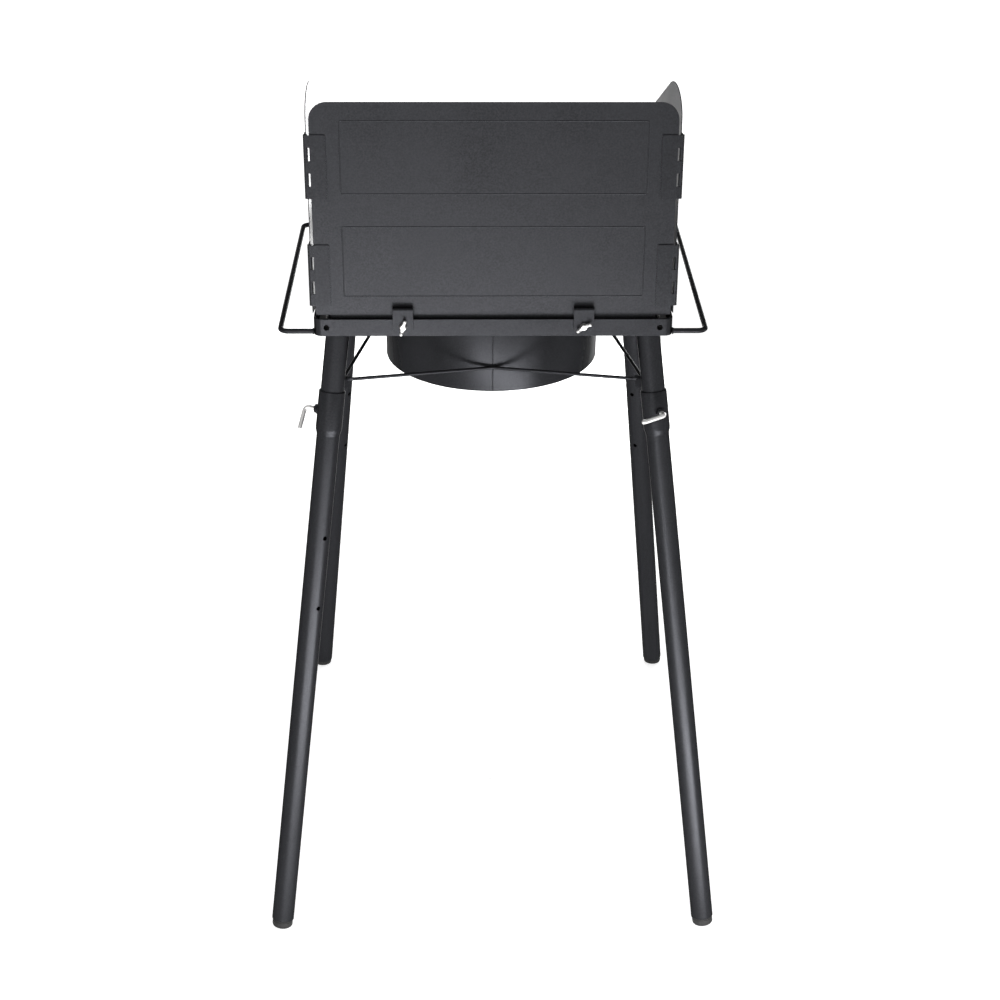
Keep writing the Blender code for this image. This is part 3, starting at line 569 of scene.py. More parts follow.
def bead(path, radius, ring=False):
    """Weld bead along a path, rippled and resampled to an even step."""
    spots = path + path[:1] if ring else path
    even = []
    phase = 0.0
    for a, b in zip(spots, spots[1:]):
        count = max(1, round((b - a).length / WELD_STEP))
        even += [a.lerp(b, i / count) for i in range(count)]
    if not ring:
        even.append(spots[-1])
    swell = []
    for i in range(len(even)):
        phase += WELD_PHASE + WELD_DRIFT * math.sin(i * WELD_DRIFT_PACE)
        swell.append(1 + WELD_RIPPLE * math.sin(phase))
    if not ring:
        swell[0] = swell[-1] = WELD_END
    return wire(even, radius, swell, ring)


def joined(parts):
    """One skin out of several."""
    whole = bmesh.new()
    for part in parts:
        mesh = bpy.data.meshes.new("part")
        part.to_mesh(mesh)
        part.free()
        whole.from_mesh(mesh)
        bpy.data.meshes.remove(mesh)
    return whole


def shaped(bm, steps):
    """Skin after a list of (operation, other skin) steps."""
    mesh = bpy.data.meshes.new("base")
    bm.to_mesh(mesh)
    bm.free()
    base = working("base", mesh)
    tools = []
    for operation, other in steps:
        mesh = bpy.data.meshes.new("tool")
        other.to_mesh(mesh)
        other.free()
        tools.append(working("tool", mesh))
        change = base.modifiers.new(operation.lower(), "BOOLEAN")
        change.operation = operation
        change.solver = "EXACT"
        change.object = tools[-1]
    return baked(base, tools)


def hex_nut(across, height, bore):
    """Hexagonal nut about Z with chamfered corners, standing on the origin."""
    corner = across / math.sqrt(3)
    drop = (corner - across / 2) * math.tan(NUT_CHAMFER)
    skin = rod(corner, 0, height, 6)
    face = across * NUT_FACE
    cone = solid(((face, 0), (corner, drop), (corner, height - drop), (face, height)), ROUND)
    drill = rod(bore, -height, height * 2, SMALL)
    return shaped(skin, [("INTERSECT", cone), (CUT, drill)])


def leg_frame(end, side):
    """Stub top, direction down the leg and length to the floor."""
    sx, sy = SIDES[side], ENDS[end]
    top = Vector((sx * (FRAME_W / 2 - LEG_INSET), sy * (FRAME_D / 2 - LEG_INSET), RAIL_BOTTOM))
    reach = Vector((sx * LEG_SPREAD_X[end], sy * LEG_SPREAD_Y, -RAIL_BOTTOM))
    return top, reach.normalized(), reach.length


def leg_matrix(end, side, azimuth):
    """Frame with +Z up the leg and +X turned to an azimuth, counted from the rear towards the right."""
    top, down, _ = leg_frame(end, side)
    up = -down
    out = Vector((math.sin(azimuth), -math.cos(azimuth), 0))
    x = (out - up * out.dot(up)).normalized()
    y = up.cross(x)
    turn = Matrix((x, y, up)).transposed().to_4x4()
    return Matrix.Translation(top) @ turn


# Finishes


def node(tree, kind, values=(), **settings):
    """Shader node; each value is a plain one or the socket that feeds its input."""
    made = tree.nodes.new("ShaderNode" + kind)
    for name, setting in settings.items():
        setattr(made, name, setting)
    for key, value in dict(values).items():
        if isinstance(value, bpy.types.NodeSocket):
            tree.links.new(value, made.inputs[key])
        else:
            made.inputs[key].default_value = value
    return made


def cleared(owner):
    """Empty node tree of a material or a world."""
    owner.use_nodes = True
    owner.node_tree.nodes.clear()
    return owner.node_tree


def noise(tree, coords, scale, detail, rough):
    """Noise texture on the given coordinates."""
    values = {"Vector": coords, "Scale": scale, "Detail": detail, "Roughness": rough}
    return node(tree, "TexNoise", values).outputs["Fac"]


def spread(tree, value, low, high, start=0.3, stop=0.7):
    """Value from start..stop stretched over low..high."""
    values = {"Value": value, "From Min": start, "From Max": stop, "To Min": low, "To Max": high}
    return node(tree, "MapRange", values).outputs["Result"]


def combined(tree, operation, a, b):
    """Result of an operation on two sockets."""
    return node(tree, "Math", {0: a, 1: b}, operation=operation).outputs[0]


def blended(tree, share, a, b):
    """Mix of two colours, each a socket or a plain colour."""
    return node(tree, "Mix", {"Factor": share, 6: a, 7: b}, data_type="RGBA").outputs[2]


def grey(level, tint=(1, 1, 1)):
    """Linear colour from a level and a tint."""
    return (level * tint[0], level * tint[1], level * tint[2], 1)


def surface(name, low, high, rough, metal=0.0, grain=900.0, bump=0.12, depth=0.00006, specular=0.5,
            tint=(1, 1, 1), wear=0.0, rim=1.0):
    """Coated, cast or turned surface: fine grain, slow drift of tone, bump and rubbed edges."""
    material = bpy.data.materials.new(name)
    tree = cleared(material)
    coords = node(tree, "TexCoord").outputs["Object"]
    fine = noise(tree, coords, grain, 3, 0.6)
    slow = noise(tree, coords, DRIFT, 4, 0.55)
    tone = blended(tree, spread(tree, fine, 0, 1), grey(low, tint), grey(high, tint))
    tone = blended(tree, spread(tree, slow, 0, 0.5), tone, grey((low + high) / 2 * DRIFT_TONE, tint))
    if wear:
        pointy = node(tree, "NewGeometry").outputs["Pointiness"]
        tone = blended(tree, spread(tree, pointy, 0, wear, *WORN), tone, grey(high * WORN_TONE, tint))
    relief = node(tree, "Bump", {"Strength": bump, "Distance": depth, "Height": fine})
    shader = node(tree, "BsdfPrincipled", {
        "Base Color": tone, "Roughness": spread(tree, slow, rough - SMOOTHER, rough + ROUGHER), "Metallic": metal,
        "Specular IOR Level": specular, "Specular Tint": grey(rim), "Normal": relief.outputs["Normal"]})
    node(tree, "OutputMaterial", {"Surface": shader.outputs[0]})
    return material


def make_materials():
    """Every finish on the stove."""
    return {
        "coat": surface("powder_coat", 0.017, 0.027, 0.38, metal=0.8, grain=560, bump=0.3, depth=0.0001, wear=0.1,
                        specular=0.1, tint=COOL, rim=0.35),
        "sheet": surface("screen_coat", 0.015, 0.029, 0.42, metal=0.8, grain=520, bump=0.4, depth=0.0001, wear=0.1,
                         specular=0.1, tint=COOL, rim=1.0),
        "zinc": surface("zinc_plate", 0.66, 0.80, 0.40, metal=1.0, grain=500, bump=0.06, tint=(1, 0.99, 0.98)),
        "iron": surface("cast_iron", 0.016, 0.040, 0.58, metal=0.2, grain=420, bump=0.5, depth=0.0003, wear=0.3),
        "brass": surface("brass", 0.6, 0.8, 0.27, metal=1.0, grain=600, bump=0.08, tint=(1, 0.74, 0.34)),
        "steel": surface("turned_steel", 0.45, 0.6, 0.3, metal=1.0, grain=700, bump=0.1),
        "rubber": surface("foot_rubber", 0.006, 0.012, 0.72, grain=700, bump=0.3, depth=0.0001, specular=0.35),
        "plastic": surface("knob_plastic", 0.012, 0.020, 0.45, grain=1400, bump=0.2),
    }


def piece(name, bm, kind, body, nodes=(), edge=0.0, segments=2):
    """Dressed piece: its skin, rounded edges, finish, body and the nodes that it stands for."""
    mesh = bpy.data.meshes.new(name)
    bm.to_mesh(mesh)
    bm.free()
    obj = working(name, mesh)
    mesh.materials.append(MATERIALS[kind])
    mesh.shade_smooth()
    if edge:
        soft = obj.modifiers.new("rounded edges", "BEVEL")
        soft.width = edge
        soft.segments = segments
        soft.limit_method = "ANGLE"
        soft.angle_limit = SHARP
        even = obj.modifiers.new("even shading", "WEIGHTED_NORMAL")
        even.keep_sharp = False
    else:
        mesh.set_sharp_from_angle(angle=SHARP)
    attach(obj, body)
    if nodes:
        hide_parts(*nodes)
    return obj


# Ring, stubs, braces and handles


def dress_ring():
    """Rectangular ring with a vertical wall and an inward flange at its foot."""
    hx, hy = FRAME_W / 2, FRAME_D / 2
    shelf = RAIL_BOTTOM + FRAME_WALL
    block = prism(rounded(hx, hy, FRAME_CORNER_R, CORNER), RAIL_BOTTOM, RAIL_TOP, "xy")
    room = rounded(hx - FRAME_WALL, hy - FRAME_WALL, FRAME_CORNER_R - FRAME_WALL, CORNER)
    edge = chamfered(hx - FLANGE_W, hy - FLANGE_W, FLANGE_CORNER)
    cuts = [(CUT, prism(room, shelf, RAIL_TOP + FRAME_WALL, "xy")),
            (CUT, prism(edge, RAIL_BOTTOM - FRAME_WALL, shelf + FRAME_WALL, "xy"))]
    for sx in SIDES.values():
        for sy in ENDS.values():
            drill = along_y(rod(RAIL_HOLE_R, -FRAME_WALL, FRAME_WALL * 2, SMALL))
            depth = hy - FRAME_WALL if sy > 0 else -hy
            cuts.append((CUT, at(drill, sx * (hx - RAIL_HOLE_INSET), depth, RAIL_BOTTOM + RAIL_H / 2)))
    piece("ring_angle", shaped(block, cuts), "coat", "stand", ["frame_ring"], edge=EDGE_RING, segments=EDGE_STEPS)


def stub_spot(end, side, turn, height):
    """Point on a stub's skin at a turn about its axis, on a level plane."""
    top, down, _ = leg_frame(end, side)
    axes = leg_matrix(end, side, 0)
    radial = (axes.to_3x3() @ Vector((math.cos(turn), math.sin(turn), 0))) * (TUBE_R + WELD_R / 4)
    return top + radial + down * ((height - top.z - radial.z) / down.z)


def dress_stubs():
    """Tubes under the ring's corners, each with a plate on its inner side and its welds."""
    length = COLLAR_TOP + COLLAR_LEN - GAP
    bore = TUBE_R - TUBE_WALL
    reach = TUBE_R * 4
    for end, sy in ENDS.items():
        for side, sx in SIDES.items():
            top, down, _ = leg_frame(end, side)
            matrix = leg_matrix(end, side, math.atan2(-sx, sy))
            tube = hollow(((TUBE_R, TUBE_R), (bore, TUBE_R), (bore, -length), (TUBE_R, -length)), ROUND)
            drop = (RAIL_BOTTOM - BRACE_Z) / -down.z
            low, high = -drop - PLATE_H / 2, -drop + PLATE_H / 2
            plate = box((TUBE_R - PLATE_ROOT, -PLATE_T / 2, low), (TUBE_R + PLATE_OUT, PLATE_T / 2, high))
            ceiling = box((top.x - reach, top.y - reach, RAIL_BOTTOM - GAP),
                          (top.x + reach, top.y + reach, RAIL_BOTTOM + reach))
            skin = shaped(tube, [(ADD, plate), (CUT, moved(ceiling, matrix.inverted()))])
            name = "%s_%s" % (end, side)
            piece("stub_" + name, moved(skin, matrix), "coat", "stand", ["leg_stub_" + name], edge=EDGE_PLATE)
            collar = [stub_spot(end, side, math.tau * i / ROUND, RAIL_BOTTOM - WELD_R / 2) for i in range(ROUND)]
            welds = [bead(collar, WELD_R, ring=True)]
            for turn in (-1, 1):
                root = [matrix @ Vector((TUBE_R, turn * PLATE_T / 2, low + PLATE_H * t)) for t in (0.05, 0.95)]
                welds.append(bead(root, WELD_R * 0.8))
            piece("stub_welds_" + name, joined(welds), "coat", "stand")


def brace_end(end, side, turn):
    """Where a brace wire meets the plate of a stub, on one side of it."""
    sx, sy = SIDES[side], ENDS[end]
    top, down, _ = leg_frame(end, side)
    centre = top + down * ((RAIL_BOTTOM - BRACE_Z) / -down.z)
    inward = Vector((-sx, -sy, 0)).normalized()
    across = Vector((-sx, sy, 0)).normalized() * turn
    return centre + inward * (TUBE_R + PLATE_OUT / 2) + across * (PLATE_T / 2 + GAP + BRACE_R)


def dress_braces():
    """Four bent wires that join the stubs; two touch the drum, each with a tack weld there."""
    touch = DRUM_R + GAP + BRACE_R
    runs = {}
    for end, sy in ENDS.items():
        runs[end] = (brace_end(end, "left", 1), Vector((0, sy * touch, BRACE_Z)), brace_end(end, "right", 1))
    for side, sx in SIDES.items():
        middle = Vector((sx * (touch + BRACE_SIDE_CLEAR), 0, BRACE_Z))
        runs[side] = (brace_end("rear", side, -1), middle, brace_end("front", side, -1))
    for name, (start, middle, finish) in runs.items():
        path, swell = domed(bend((start, middle, finish), BRACE_BEND, CORNER), BRACE_R)
        piece("brace_wire_" + name, wire(path, BRACE_R, swell), "coat", "stand", ["brace_" + name])
        along = (finish - start).normalized()
        inward = -Vector((middle.x, middle.y, 0)).normalized()
        spot = middle + inward * BRACE_R
        welds = []
        for drop in (-1, 1) if name in ENDS else ():
            shift = Vector((0, 0, drop * BRACE_R * 0.8))
            welds.append(bead([spot + shift - along * TACK_HALF, spot + shift + along * TACK_HALF], WELD_R * 0.9))
        for near, far in ((start, middle), (finish, middle)):
            run = (far - near).normalized()
            lift = Vector((0, 0, BRACE_R * 0.7))
            plate_side = Vector((-run.y, run.x, 0)).normalized() * (BRACE_R * 0.75)
            if (near + plate_side).xy.length < (near - plate_side).xy.length:
                plate_side = -plate_side
            welds.append(bead([near + plate_side + lift, near + plate_side + lift + run * PLATE_TACK], WELD_R * 0.7))
        piece("brace_welds_" + name, joined(welds), "coat", "stand")


def dress_handles():
    """Wire loops along the two sides of the ring, welded at their ends."""
    z = RAIL_BOTTOM + HANDLE_RISE
    y = FRAME_D / 2 - HANDLE_END
    for side, sx in SIDES.items():
        near = sx * (FRAME_W / 2 + GAP)
        far = sx * (FRAME_W / 2 + HANDLE_OUT)
        path = bend([(near, -y, z), (far, -y, z), (far, y, z), (near, y, z)], HANDLE_BEND, CORNER)
        piece("handle_loop_" + side, wire(path, HANDLE_R), "coat", "stand", ["handle_" + side])
        welds = []
        r = HANDLE_R + WELD_SINK
        turns = [math.tau * i / HANDLE_WELD_STEPS for i in range(HANDLE_WELD_STEPS)]
        for foot in (-y, y):
            spots = [Vector((near + sx * WELD_SINK, foot + r * math.cos(t), z + r * math.sin(t))) for t in turns]
            welds.append(bead(spots, WELD_R * 0.6, ring=True))
        piece("handle_welds_" + side, joined(welds), "coat", "stand")


# Drum, burner and valve


def dress_drum():
    """Rolled sheet drum, open at both ends, with its weld seam and a hole for the mixing tube."""
    bore = DRUM_R - DRUM_WALL
    soft = DRUM_WALL / 2
    middle = DRUM_R - soft
    profile = arc(middle, DRUM_BOTTOM + soft, soft, 0, -math.pi, RIM)
    profile += arc(middle, DRUM_TOP - soft, soft, math.pi, 0, RIM)
    drill = at(along_y(rod(MIX_R + MIX_SLACK, bore - DRUM_R / 4, DRUM_R + DRUM_R / 8, ROUND)), 0, 0, MIX_Z)
    piece("drum_shell", shaped(hollow(profile, DRUM_STEPS), [(CUT, drill)]), "coat", "stand", ["drum"])
    seam = [Vector((0, -DRUM_R + WELD_SINK, z)) for z in (DRUM_BOTTOM + SEAM_INSET, DRUM_TOP - SEAM_INSET)]
    piece("drum_seam", bead(seam, SEAM_R), "coat", "stand")


def dress_burner():
    """Strip, cast body with mixing tube, ported cap and bolt."""
    bore = DRUM_R - DRUM_WALL
    half = math.sqrt(bore ** 2 - (STRIP_W / 2) ** 2) - 2 * GAP
    low = DRUM_BOTTOM + STRIP_RISE
    high = low + STRIP_T
    rim = high + STRIP_END_H
    outline = [(-half, low), (half, low), (half, rim), (half - STRIP_T, rim), (half - STRIP_T, high),
               (STRIP_T - half, high), (STRIP_T - half, rim), (-half, rim)]
    hole = BOLT_R + RUN
    drill = rod(hole, low - STRIP_T, high + STRIP_T, SMALL)
    strip = shaped(prism(outline, -STRIP_W / 2, STRIP_W / 2, "xz"), [(CUT, drill)])
    piece("burner_strap", strip, "coat", "stand", ["burner_strip"], edge=EDGE_STRAP)

    base = high + GAP
    top = base + BOWL_H
    inner = BOWL_R - BOWL_WALL
    profile = [(inner - BOWL_WALL, base)]
    profile += arc(BOWL_R - 2 * BOWL_WALL, base + 2 * BOWL_WALL, 2 * BOWL_WALL, -QUARTER, 0, CORNER)
    profile.append((BOWL_R, top))
    pipe = at(along_y(rod(MIX_R, inner, MIX_MOUTH, ROUND)), 0, 0, MIX_Z)
    collar = at(along_y(solid(((MIX_R * 1.5, inner), (MIX_R * 1.5, BOWL_R), (MIX_R, BOWL_R + MIX_R)), ROUND)),
                0, 0, MIX_Z)
    room = rod(inner, base + BOWL_WALL, top + BOWL_WALL, ROUND)
    way = MIX_R - MIX_WALL
    passage = at(along_y(rod(way, inner / 2, MIX_MOUTH + MIX_WALL, ROUND)), 0, 0, MIX_Z)
    drill = rod(hole, base - BOWL_WALL, base + BOWL_WALL * 2, SMALL)
    body = shaped(solid(profile, ROUND), [(ADD, pipe), (ADD, collar), (CUT, room),
                                          (CUT, passage), (CUT, drill)])
    piece("burner_bowl", body, "iron", "stand", ["burner_body"], edge=EDGE_BOWL)

    under = top + GAP
    crown = under + CAP_H
    groove = CAP_H / 8
    skirt = under + CAP_H * 0.4
    profile = [(CAP_R, under), (CAP_R, skirt)]
    profile += arc(CAP_R - CAP_H * 0.6, skirt, CAP_H * 0.6, 0, QUARTER, CORNER)
    profile += [(CAP_PORT_RING * 0.75, crown), (CAP_PORT_RING * 0.72, crown - groove),
                (CAP_PORT_RING * 0.62, crown - groove), (CAP_PORT_RING * 0.59, crown)]
    cuts = []
    for i in range(CAP_PORTS):
        turn = math.tau * i / CAP_PORTS
        port = rod(CAP_PORT_R, under - CAP_H, crown + CAP_H, SMALL // 2)
        cuts.append((CUT, at(port, CAP_PORT_RING * math.cos(turn), CAP_PORT_RING * math.sin(turn), 0)))
    piece("burner_crown", shaped(solid(profile, ROUND), cuts), "iron", "stand", ["burner_cap"], edge=EDGE_SMALL)

    shank = base + BOWL_WALL + BOLT_R
    head_low = low - GAP - BOLT_HEAD_H
    head = at(hex_nut(BOLT_HEAD_R * math.sqrt(3), BOLT_HEAD_H, BOLT_R / 2), 0, 0, head_low)
    screw = rod(BOLT_R, head_low + BOLT_HEAD_H / 4, shank, SMALL)
    piece("burner_fixing", shaped(head, [(ADD, screw)]), "zinc", "stand", ["burner_bolt"], edge=EDGE_SMALL)


def dress_shutter():
    """Cup on the mixing tube's mouth with two air holes, its rim rounded."""
    sleeve = MIX_R + RUN
    outer = sleeve + SHUTTER_WALL
    face = MIX_MOUTH + GAP
    front = face + SHUTTER_WALL
    window = JET_R + JET_SLACK
    profile = [(outer, front - SHUTTER_LEN)]
    profile += arc(outer - SHUTTER_WALL, front - SHUTTER_WALL, SHUTTER_WALL, 0, QUARTER, RIM)
    profile += [(window, front), (window, face), (sleeve, face), (sleeve, front - SHUTTER_LEN)]
    cuts = []
    for sx in (-1, 1):
        drill = along_y(rod(SHUTTER_HOLE, face - SHUTTER_WALL / 2, front + SHUTTER_WALL, SMALL))
        cuts.append((CUT, at(drill, sx * SHUTTER_HOLE_RING, 0, 0)))
    skin = at(shaped(along_y(hollow(profile, ROUND)), cuts), 0, 0, MIX_Z)
    piece("air_cup", skin, "zinc", "air_shutter", ["air_shutter"], edge=EDGE_CUP)


def thread(radius, start, stop, crest, root):
    """Ridges of a thread on a (radius, z) outline, crest and root at their shares of a pitch, and where it ends."""
    ridges = []
    while start + THREAD_PITCH < stop:
        ridges += [(radius, start + THREAD_PITCH * crest), (radius * THREAD_ROOT, start + THREAD_PITCH * root)]
        start += THREAD_PITCH
    return ridges, start


def dress_valve():
    """Bracket, valve, its nut, jet and gas inlet in line with the mixing tube."""
    back = FRAME_D / 2 - BRACKET_INSET - BRACKET_T
    front = back + BRACKET_T
    top = RAIL_BOTTOM - GAP
    low = MIX_Z - BRACKET_BELOW
    bend_r = BRACKET_T * 1.5
    outline = [(back - BRACKET_TAB, top - BRACKET_T)]
    outline += arc(back - bend_r + BRACKET_T, top - bend_r, bend_r - BRACKET_T, QUARTER, 0, FOLD)
    outline += [(back, low), (front, low)]
    outline += arc(front - bend_r, top - bend_r, bend_r, 0, QUARTER, FOLD)
    outline.append((back - BRACKET_TAB, top))
    neck_hole = NECK_R + NECK_SLACK
    cuts = [(CUT, at(along_y(rod(neck_hole, -BRACKET_T, BRACKET_T * 2, ROUND)), 0, back, MIX_Z))]
    for sx in SIDES.values():
        trim = BRACKET_W / 5
        corner = [(sx * BRACKET_W / 2, low - trim / 8), (sx * BRACKET_W / 2, low + trim),
                  (sx * (BRACKET_W / 2 - trim), low - trim / 8)]
        if sx < 0:
            corner.reverse()
        corner = [(x + sx * trim / 16, z) for x, z in corner]
        cuts.append((CUT, prism(corner, back - BRACKET_T, front + BRACKET_T, "xz")))
    plate = prism(outline, -BRACKET_W / 2, BRACKET_W / 2, "yz")
    piece("valve_plate", shaped(plate, cuts), "coat", "stand", ["valve_bracket"], edge=EDGE_PLATE)

    start = back - GAP - VALVE_LEN
    end = back - GAP
    neck_end = front + NECK_OUT
    middle = (start + end) / 2
    profile = [(VALVE_R * 0.8, start), (VALVE_R, start + VALVE_NOSE), (VALVE_R, middle - WAIST_OUTER),
               (VALVE_R * 0.93, middle - WAIST_INNER), (VALVE_R * 0.93, middle + WAIST_INNER),
               (VALVE_R, middle + WAIST_OUTER), (VALVE_R, end - VALVE_EDGE), (VALVE_R * 0.92, end), (NECK_R, end)]
    ridges, turn = thread(NECK_R, end, neck_end - THREAD_LEAD, 0.3, 0.65)
    profile += ridges + [(NECK_R, turn), (NECK_R * 0.9, neck_end)]
    body = along_y(solid(profile, ROUND))
    boss = at(rod(BOSS_R, -BOSS_DROP, 0, ROUND), 0, middle, 0)
    well = along_y(rod(STEM_R * 1.06, neck_end - NECK_BORE, neck_end + NECK_OUT, SMALL))
    throat = at(rod(INLET_BORE, -BOSS_DROP * 2, 0, SMALL), 0, middle, 0)
    body = shaped(body, [(ADD, boss), (CUT, well), (CUT, throat)])
    piece("valve_casting", at(body, 0, 0, MIX_Z), "brass", "stand", ["valve_body"])

    nut = at(along_y(hex_nut(VALVE_NUT_AF, VALVE_NUT_H, neck_hole)), 0, front + GAP, MIX_Z)
    piece("valve_locknut", nut, "zinc", "stand", ["valve_nut"], edge=EDGE_SMALL)

    tip = MIX_MOUTH - JET_IN
    profile = [(JET_TIP_R * 0.7, tip), (JET_TIP_R, tip + JET_EDGE), (JET_R * 0.8, tip + JET_TIP * 0.8),
               (JET_R, tip + JET_TIP)]
    ridges, turn = thread(JET_R, tip + JET_TIP + THREAD_PITCH, start - GAP, 0, 0.5)
    profile += ridges + [(JET_R, turn), (JET_R, start - GAP)]
    drill = rod(JET_TIP_R * 0.3, tip - JET_TIP, tip + JET_TIP, SMALL)
    jet = shaped(along_y(solid(profile, SMALL)), [(CUT, along_y(drill))])
    piece("gas_nozzle", at(jet, 0, 0, MIX_Z), "brass", "stand", ["gas_jet"])

    flange = MIX_Z - BOSS_DROP - GAP
    neck = flange - INLET_LEN / 3
    bottom = flange - INLET_LEN
    profile = [(BOSS_R * 0.95, flange), (BOSS_R, flange - INLET_EDGE), (BOSS_R, neck + INLET_EDGE),
               (BOSS_R * 0.95, neck), (INLET_R * 0.92, neck)]
    turn = neck - THREAD_PITCH / 2
    while turn - THREAD_PITCH > bottom + INLET_LEAD:
        profile += [(INLET_R, turn - THREAD_PITCH * 0.35), (INLET_R * 0.94, turn - THREAD_PITCH * 0.85)]
        turn -= THREAD_PITCH
    profile += [(INLET_R * 0.9, bottom), (INLET_BORE, bottom), (INLET_BORE, flange)]
    piece("gas_thread", at(hollow(profile, ROUND), 0, middle, 0), "brass", "stand", ["gas_inlet"])


def dress_knob():
    """Round knob with a grip bar and a fluted rim, on its stem."""
    back = FRAME_D / 2 - BRACKET_INSET - BRACKET_T
    neck_end = back + BRACKET_T + NECK_OUT
    knob_back = neck_end + KNOB_STAND
    stem_end = knob_back + KNOB_GRIP
    stem = along_y(rod(STEM_R, neck_end - NECK_BORE + GAP, stem_end, SMALL))
    piece("valve_spindle", at(stem, 0, 0, MIX_Z), "steel", "valve_knob", ["valve_stem"], edge=EDGE_SMALL)
    disc = knob_back + KNOB_H - KNOB_GRIP
    soft = KNOB_STAND
    profile = [(KNOB_R - KNOB_EDGE, knob_back), (KNOB_R, knob_back + KNOB_EDGE), (KNOB_R, disc - soft)]
    profile += arc(KNOB_R - soft, disc - soft, soft, 0, QUARTER, RIM)[1:]
    reach = KNOB_R - soft * 2
    grip = box((-KNOB_GRIP_W / 2, disc - soft, -reach), (KNOB_GRIP_W / 2, knob_back + KNOB_H, reach))
    changes = [(ADD, grip)]
    ring = KNOB_R + FLUTE_OUT
    for i in range(FLUTES):
        turn = math.tau * (i + 0.5) / FLUTES
        flute = along_y(rod(FLUTE_R, knob_back - soft, disc - soft, FLUTE_STEPS))
        changes.append((CUT, at(flute, ring * math.cos(turn), 0, ring * math.sin(turn))))
    changes.append((CUT, along_y(rod(STEM_R + GAP, knob_back - soft, stem_end + GAP, SMALL))))
    front = knob_back + KNOB_H
    mark = box((-MARK_HALF, front - MARK_DEEP, 0), (MARK_HALF, front + MARK_OUT, KNOB_R - soft * 3))
    changes.append((CUT, mark))
    knob = shaped(along_y(solid(profile, ROUND * 2)), changes)
    piece("valve_handwheel", at(knob, 0, 0, MIX_Z), "plastic", "valve_knob", ["valve_knob"], edge=EDGE_PLATE)


def dress_grate():
    """Flat cast grate of parallel bars that rests on the ring's flange."""
    hx = FRAME_W / 2 - FRAME_WALL - GRATE_SIDE_CLEAR
    y0 = GRATE_REAR_CLEAR - FRAME_D / 2
    y1 = FRAME_D / 2 - FRAME_WALL - GRATE_SIDE_CLEAR
    z0 = RAIL_BOTTOM + FRAME_WALL + GAP
    z1 = z0 + GRATE_H
    middle = (y0 + y1) / 2
    depth = (y1 - y0) / 2
    plate = at(prism(rounded(hx, depth, GRATE_R, CORNER), z0, z1, "xy"), 0, middle, 0)
    pitch = (2 * hx - GRATE_BAR) / GRATE_SLOTS
    slots = []
    for i in range(GRATE_SLOTS):
        x = GRATE_BAR + (i + 0.5) * pitch - GRATE_BAR / 2 - hx
        outline = rounded((pitch - GRATE_BAR) / 2, depth - GRATE_BAR, GRATE_SLOT_R, CORNER)
        slots.append((CUT, at(prism(outline, z0 - GRATE_H, z1 + GRATE_H, "xy"), x, middle, 0)))
    piece("grate_casting", shaped(plate, slots), "iron", "grate", ["grate"], edge=EDGE_GRATE, segments=EDGE_STEPS)


# Windscreen


def dress_panel():
    """Windscreen panel with its two pressed outlines; its foot goes down inside the rail."""
    face = PANEL_BACK - FRAME_D / 2
    hw = PANEL_W / 2
    top = RAIL_TOP + PANEL_H
    step = RAIL_TOP + PANEL_STEP_Z
    foot = RAIL_TOP - PANEL_FOOT
    outline = [(-hw, foot), (hw, foot)]
    outline += arc(hw - PANEL_R, top - PANEL_R, PANEL_R, 0, QUARTER, 2 * CORNER)
    outline += arc(PANEL_R - hw, top - PANEL_R, PANEL_R, QUARTER, 2 * QUARTER, 2 * CORNER)
    sheet = prism(outline, face, face + SHEET_T, "xz")
    changes = []
    under = step - 2 * (step - foot)
    lip = PANEL_LIP
    for sx in SIDES.values():
        inner, outer = hw - PANEL_STEP_W, hw + PANEL_STEP_W
        notch = [(inner, step), (hw - lip, step)]
        notch += arc(hw - lip, step + lip, lip, -QUARTER, 0, FOLD)[1:]
        notch += [(outer, step + lip), (outer, under), (inner - 2 * PANEL_STEP_RUN, under)]
        cutter = prism([(sx * x, z) for x, z in notch], face - SHEET_T, face + 2 * SHEET_T, "xz")
        changes.append((CUT, cutter))
    for low, high in BEADS:
        middle = RAIL_TOP + (low + high) / 2
        half = (high - low) / 2
        section = [(a * BEAD_HALF, -b * BEAD_DEEP) for a, b in arc(0, 0, 1, 0, math.pi, RIM)]
        section += [(-BEAD_HALF, SHEET_T / 2), (BEAD_HALF, SHEET_T / 2)]
        loops = []
        for grow, rise in section:
            ring = rounded(BEAD_W / 2 + grow, half + grow, BEAD_R + grow, RIM)
            loops.append([(x, face + rise, middle + z) for x, z in ring])
        changes.append((ADD, looped(loops)))
    piece("screen_sheet", shaped(sheet, changes), "sheet", "windscreen", ["screen_panel"], edge=EDGE_SMALL)


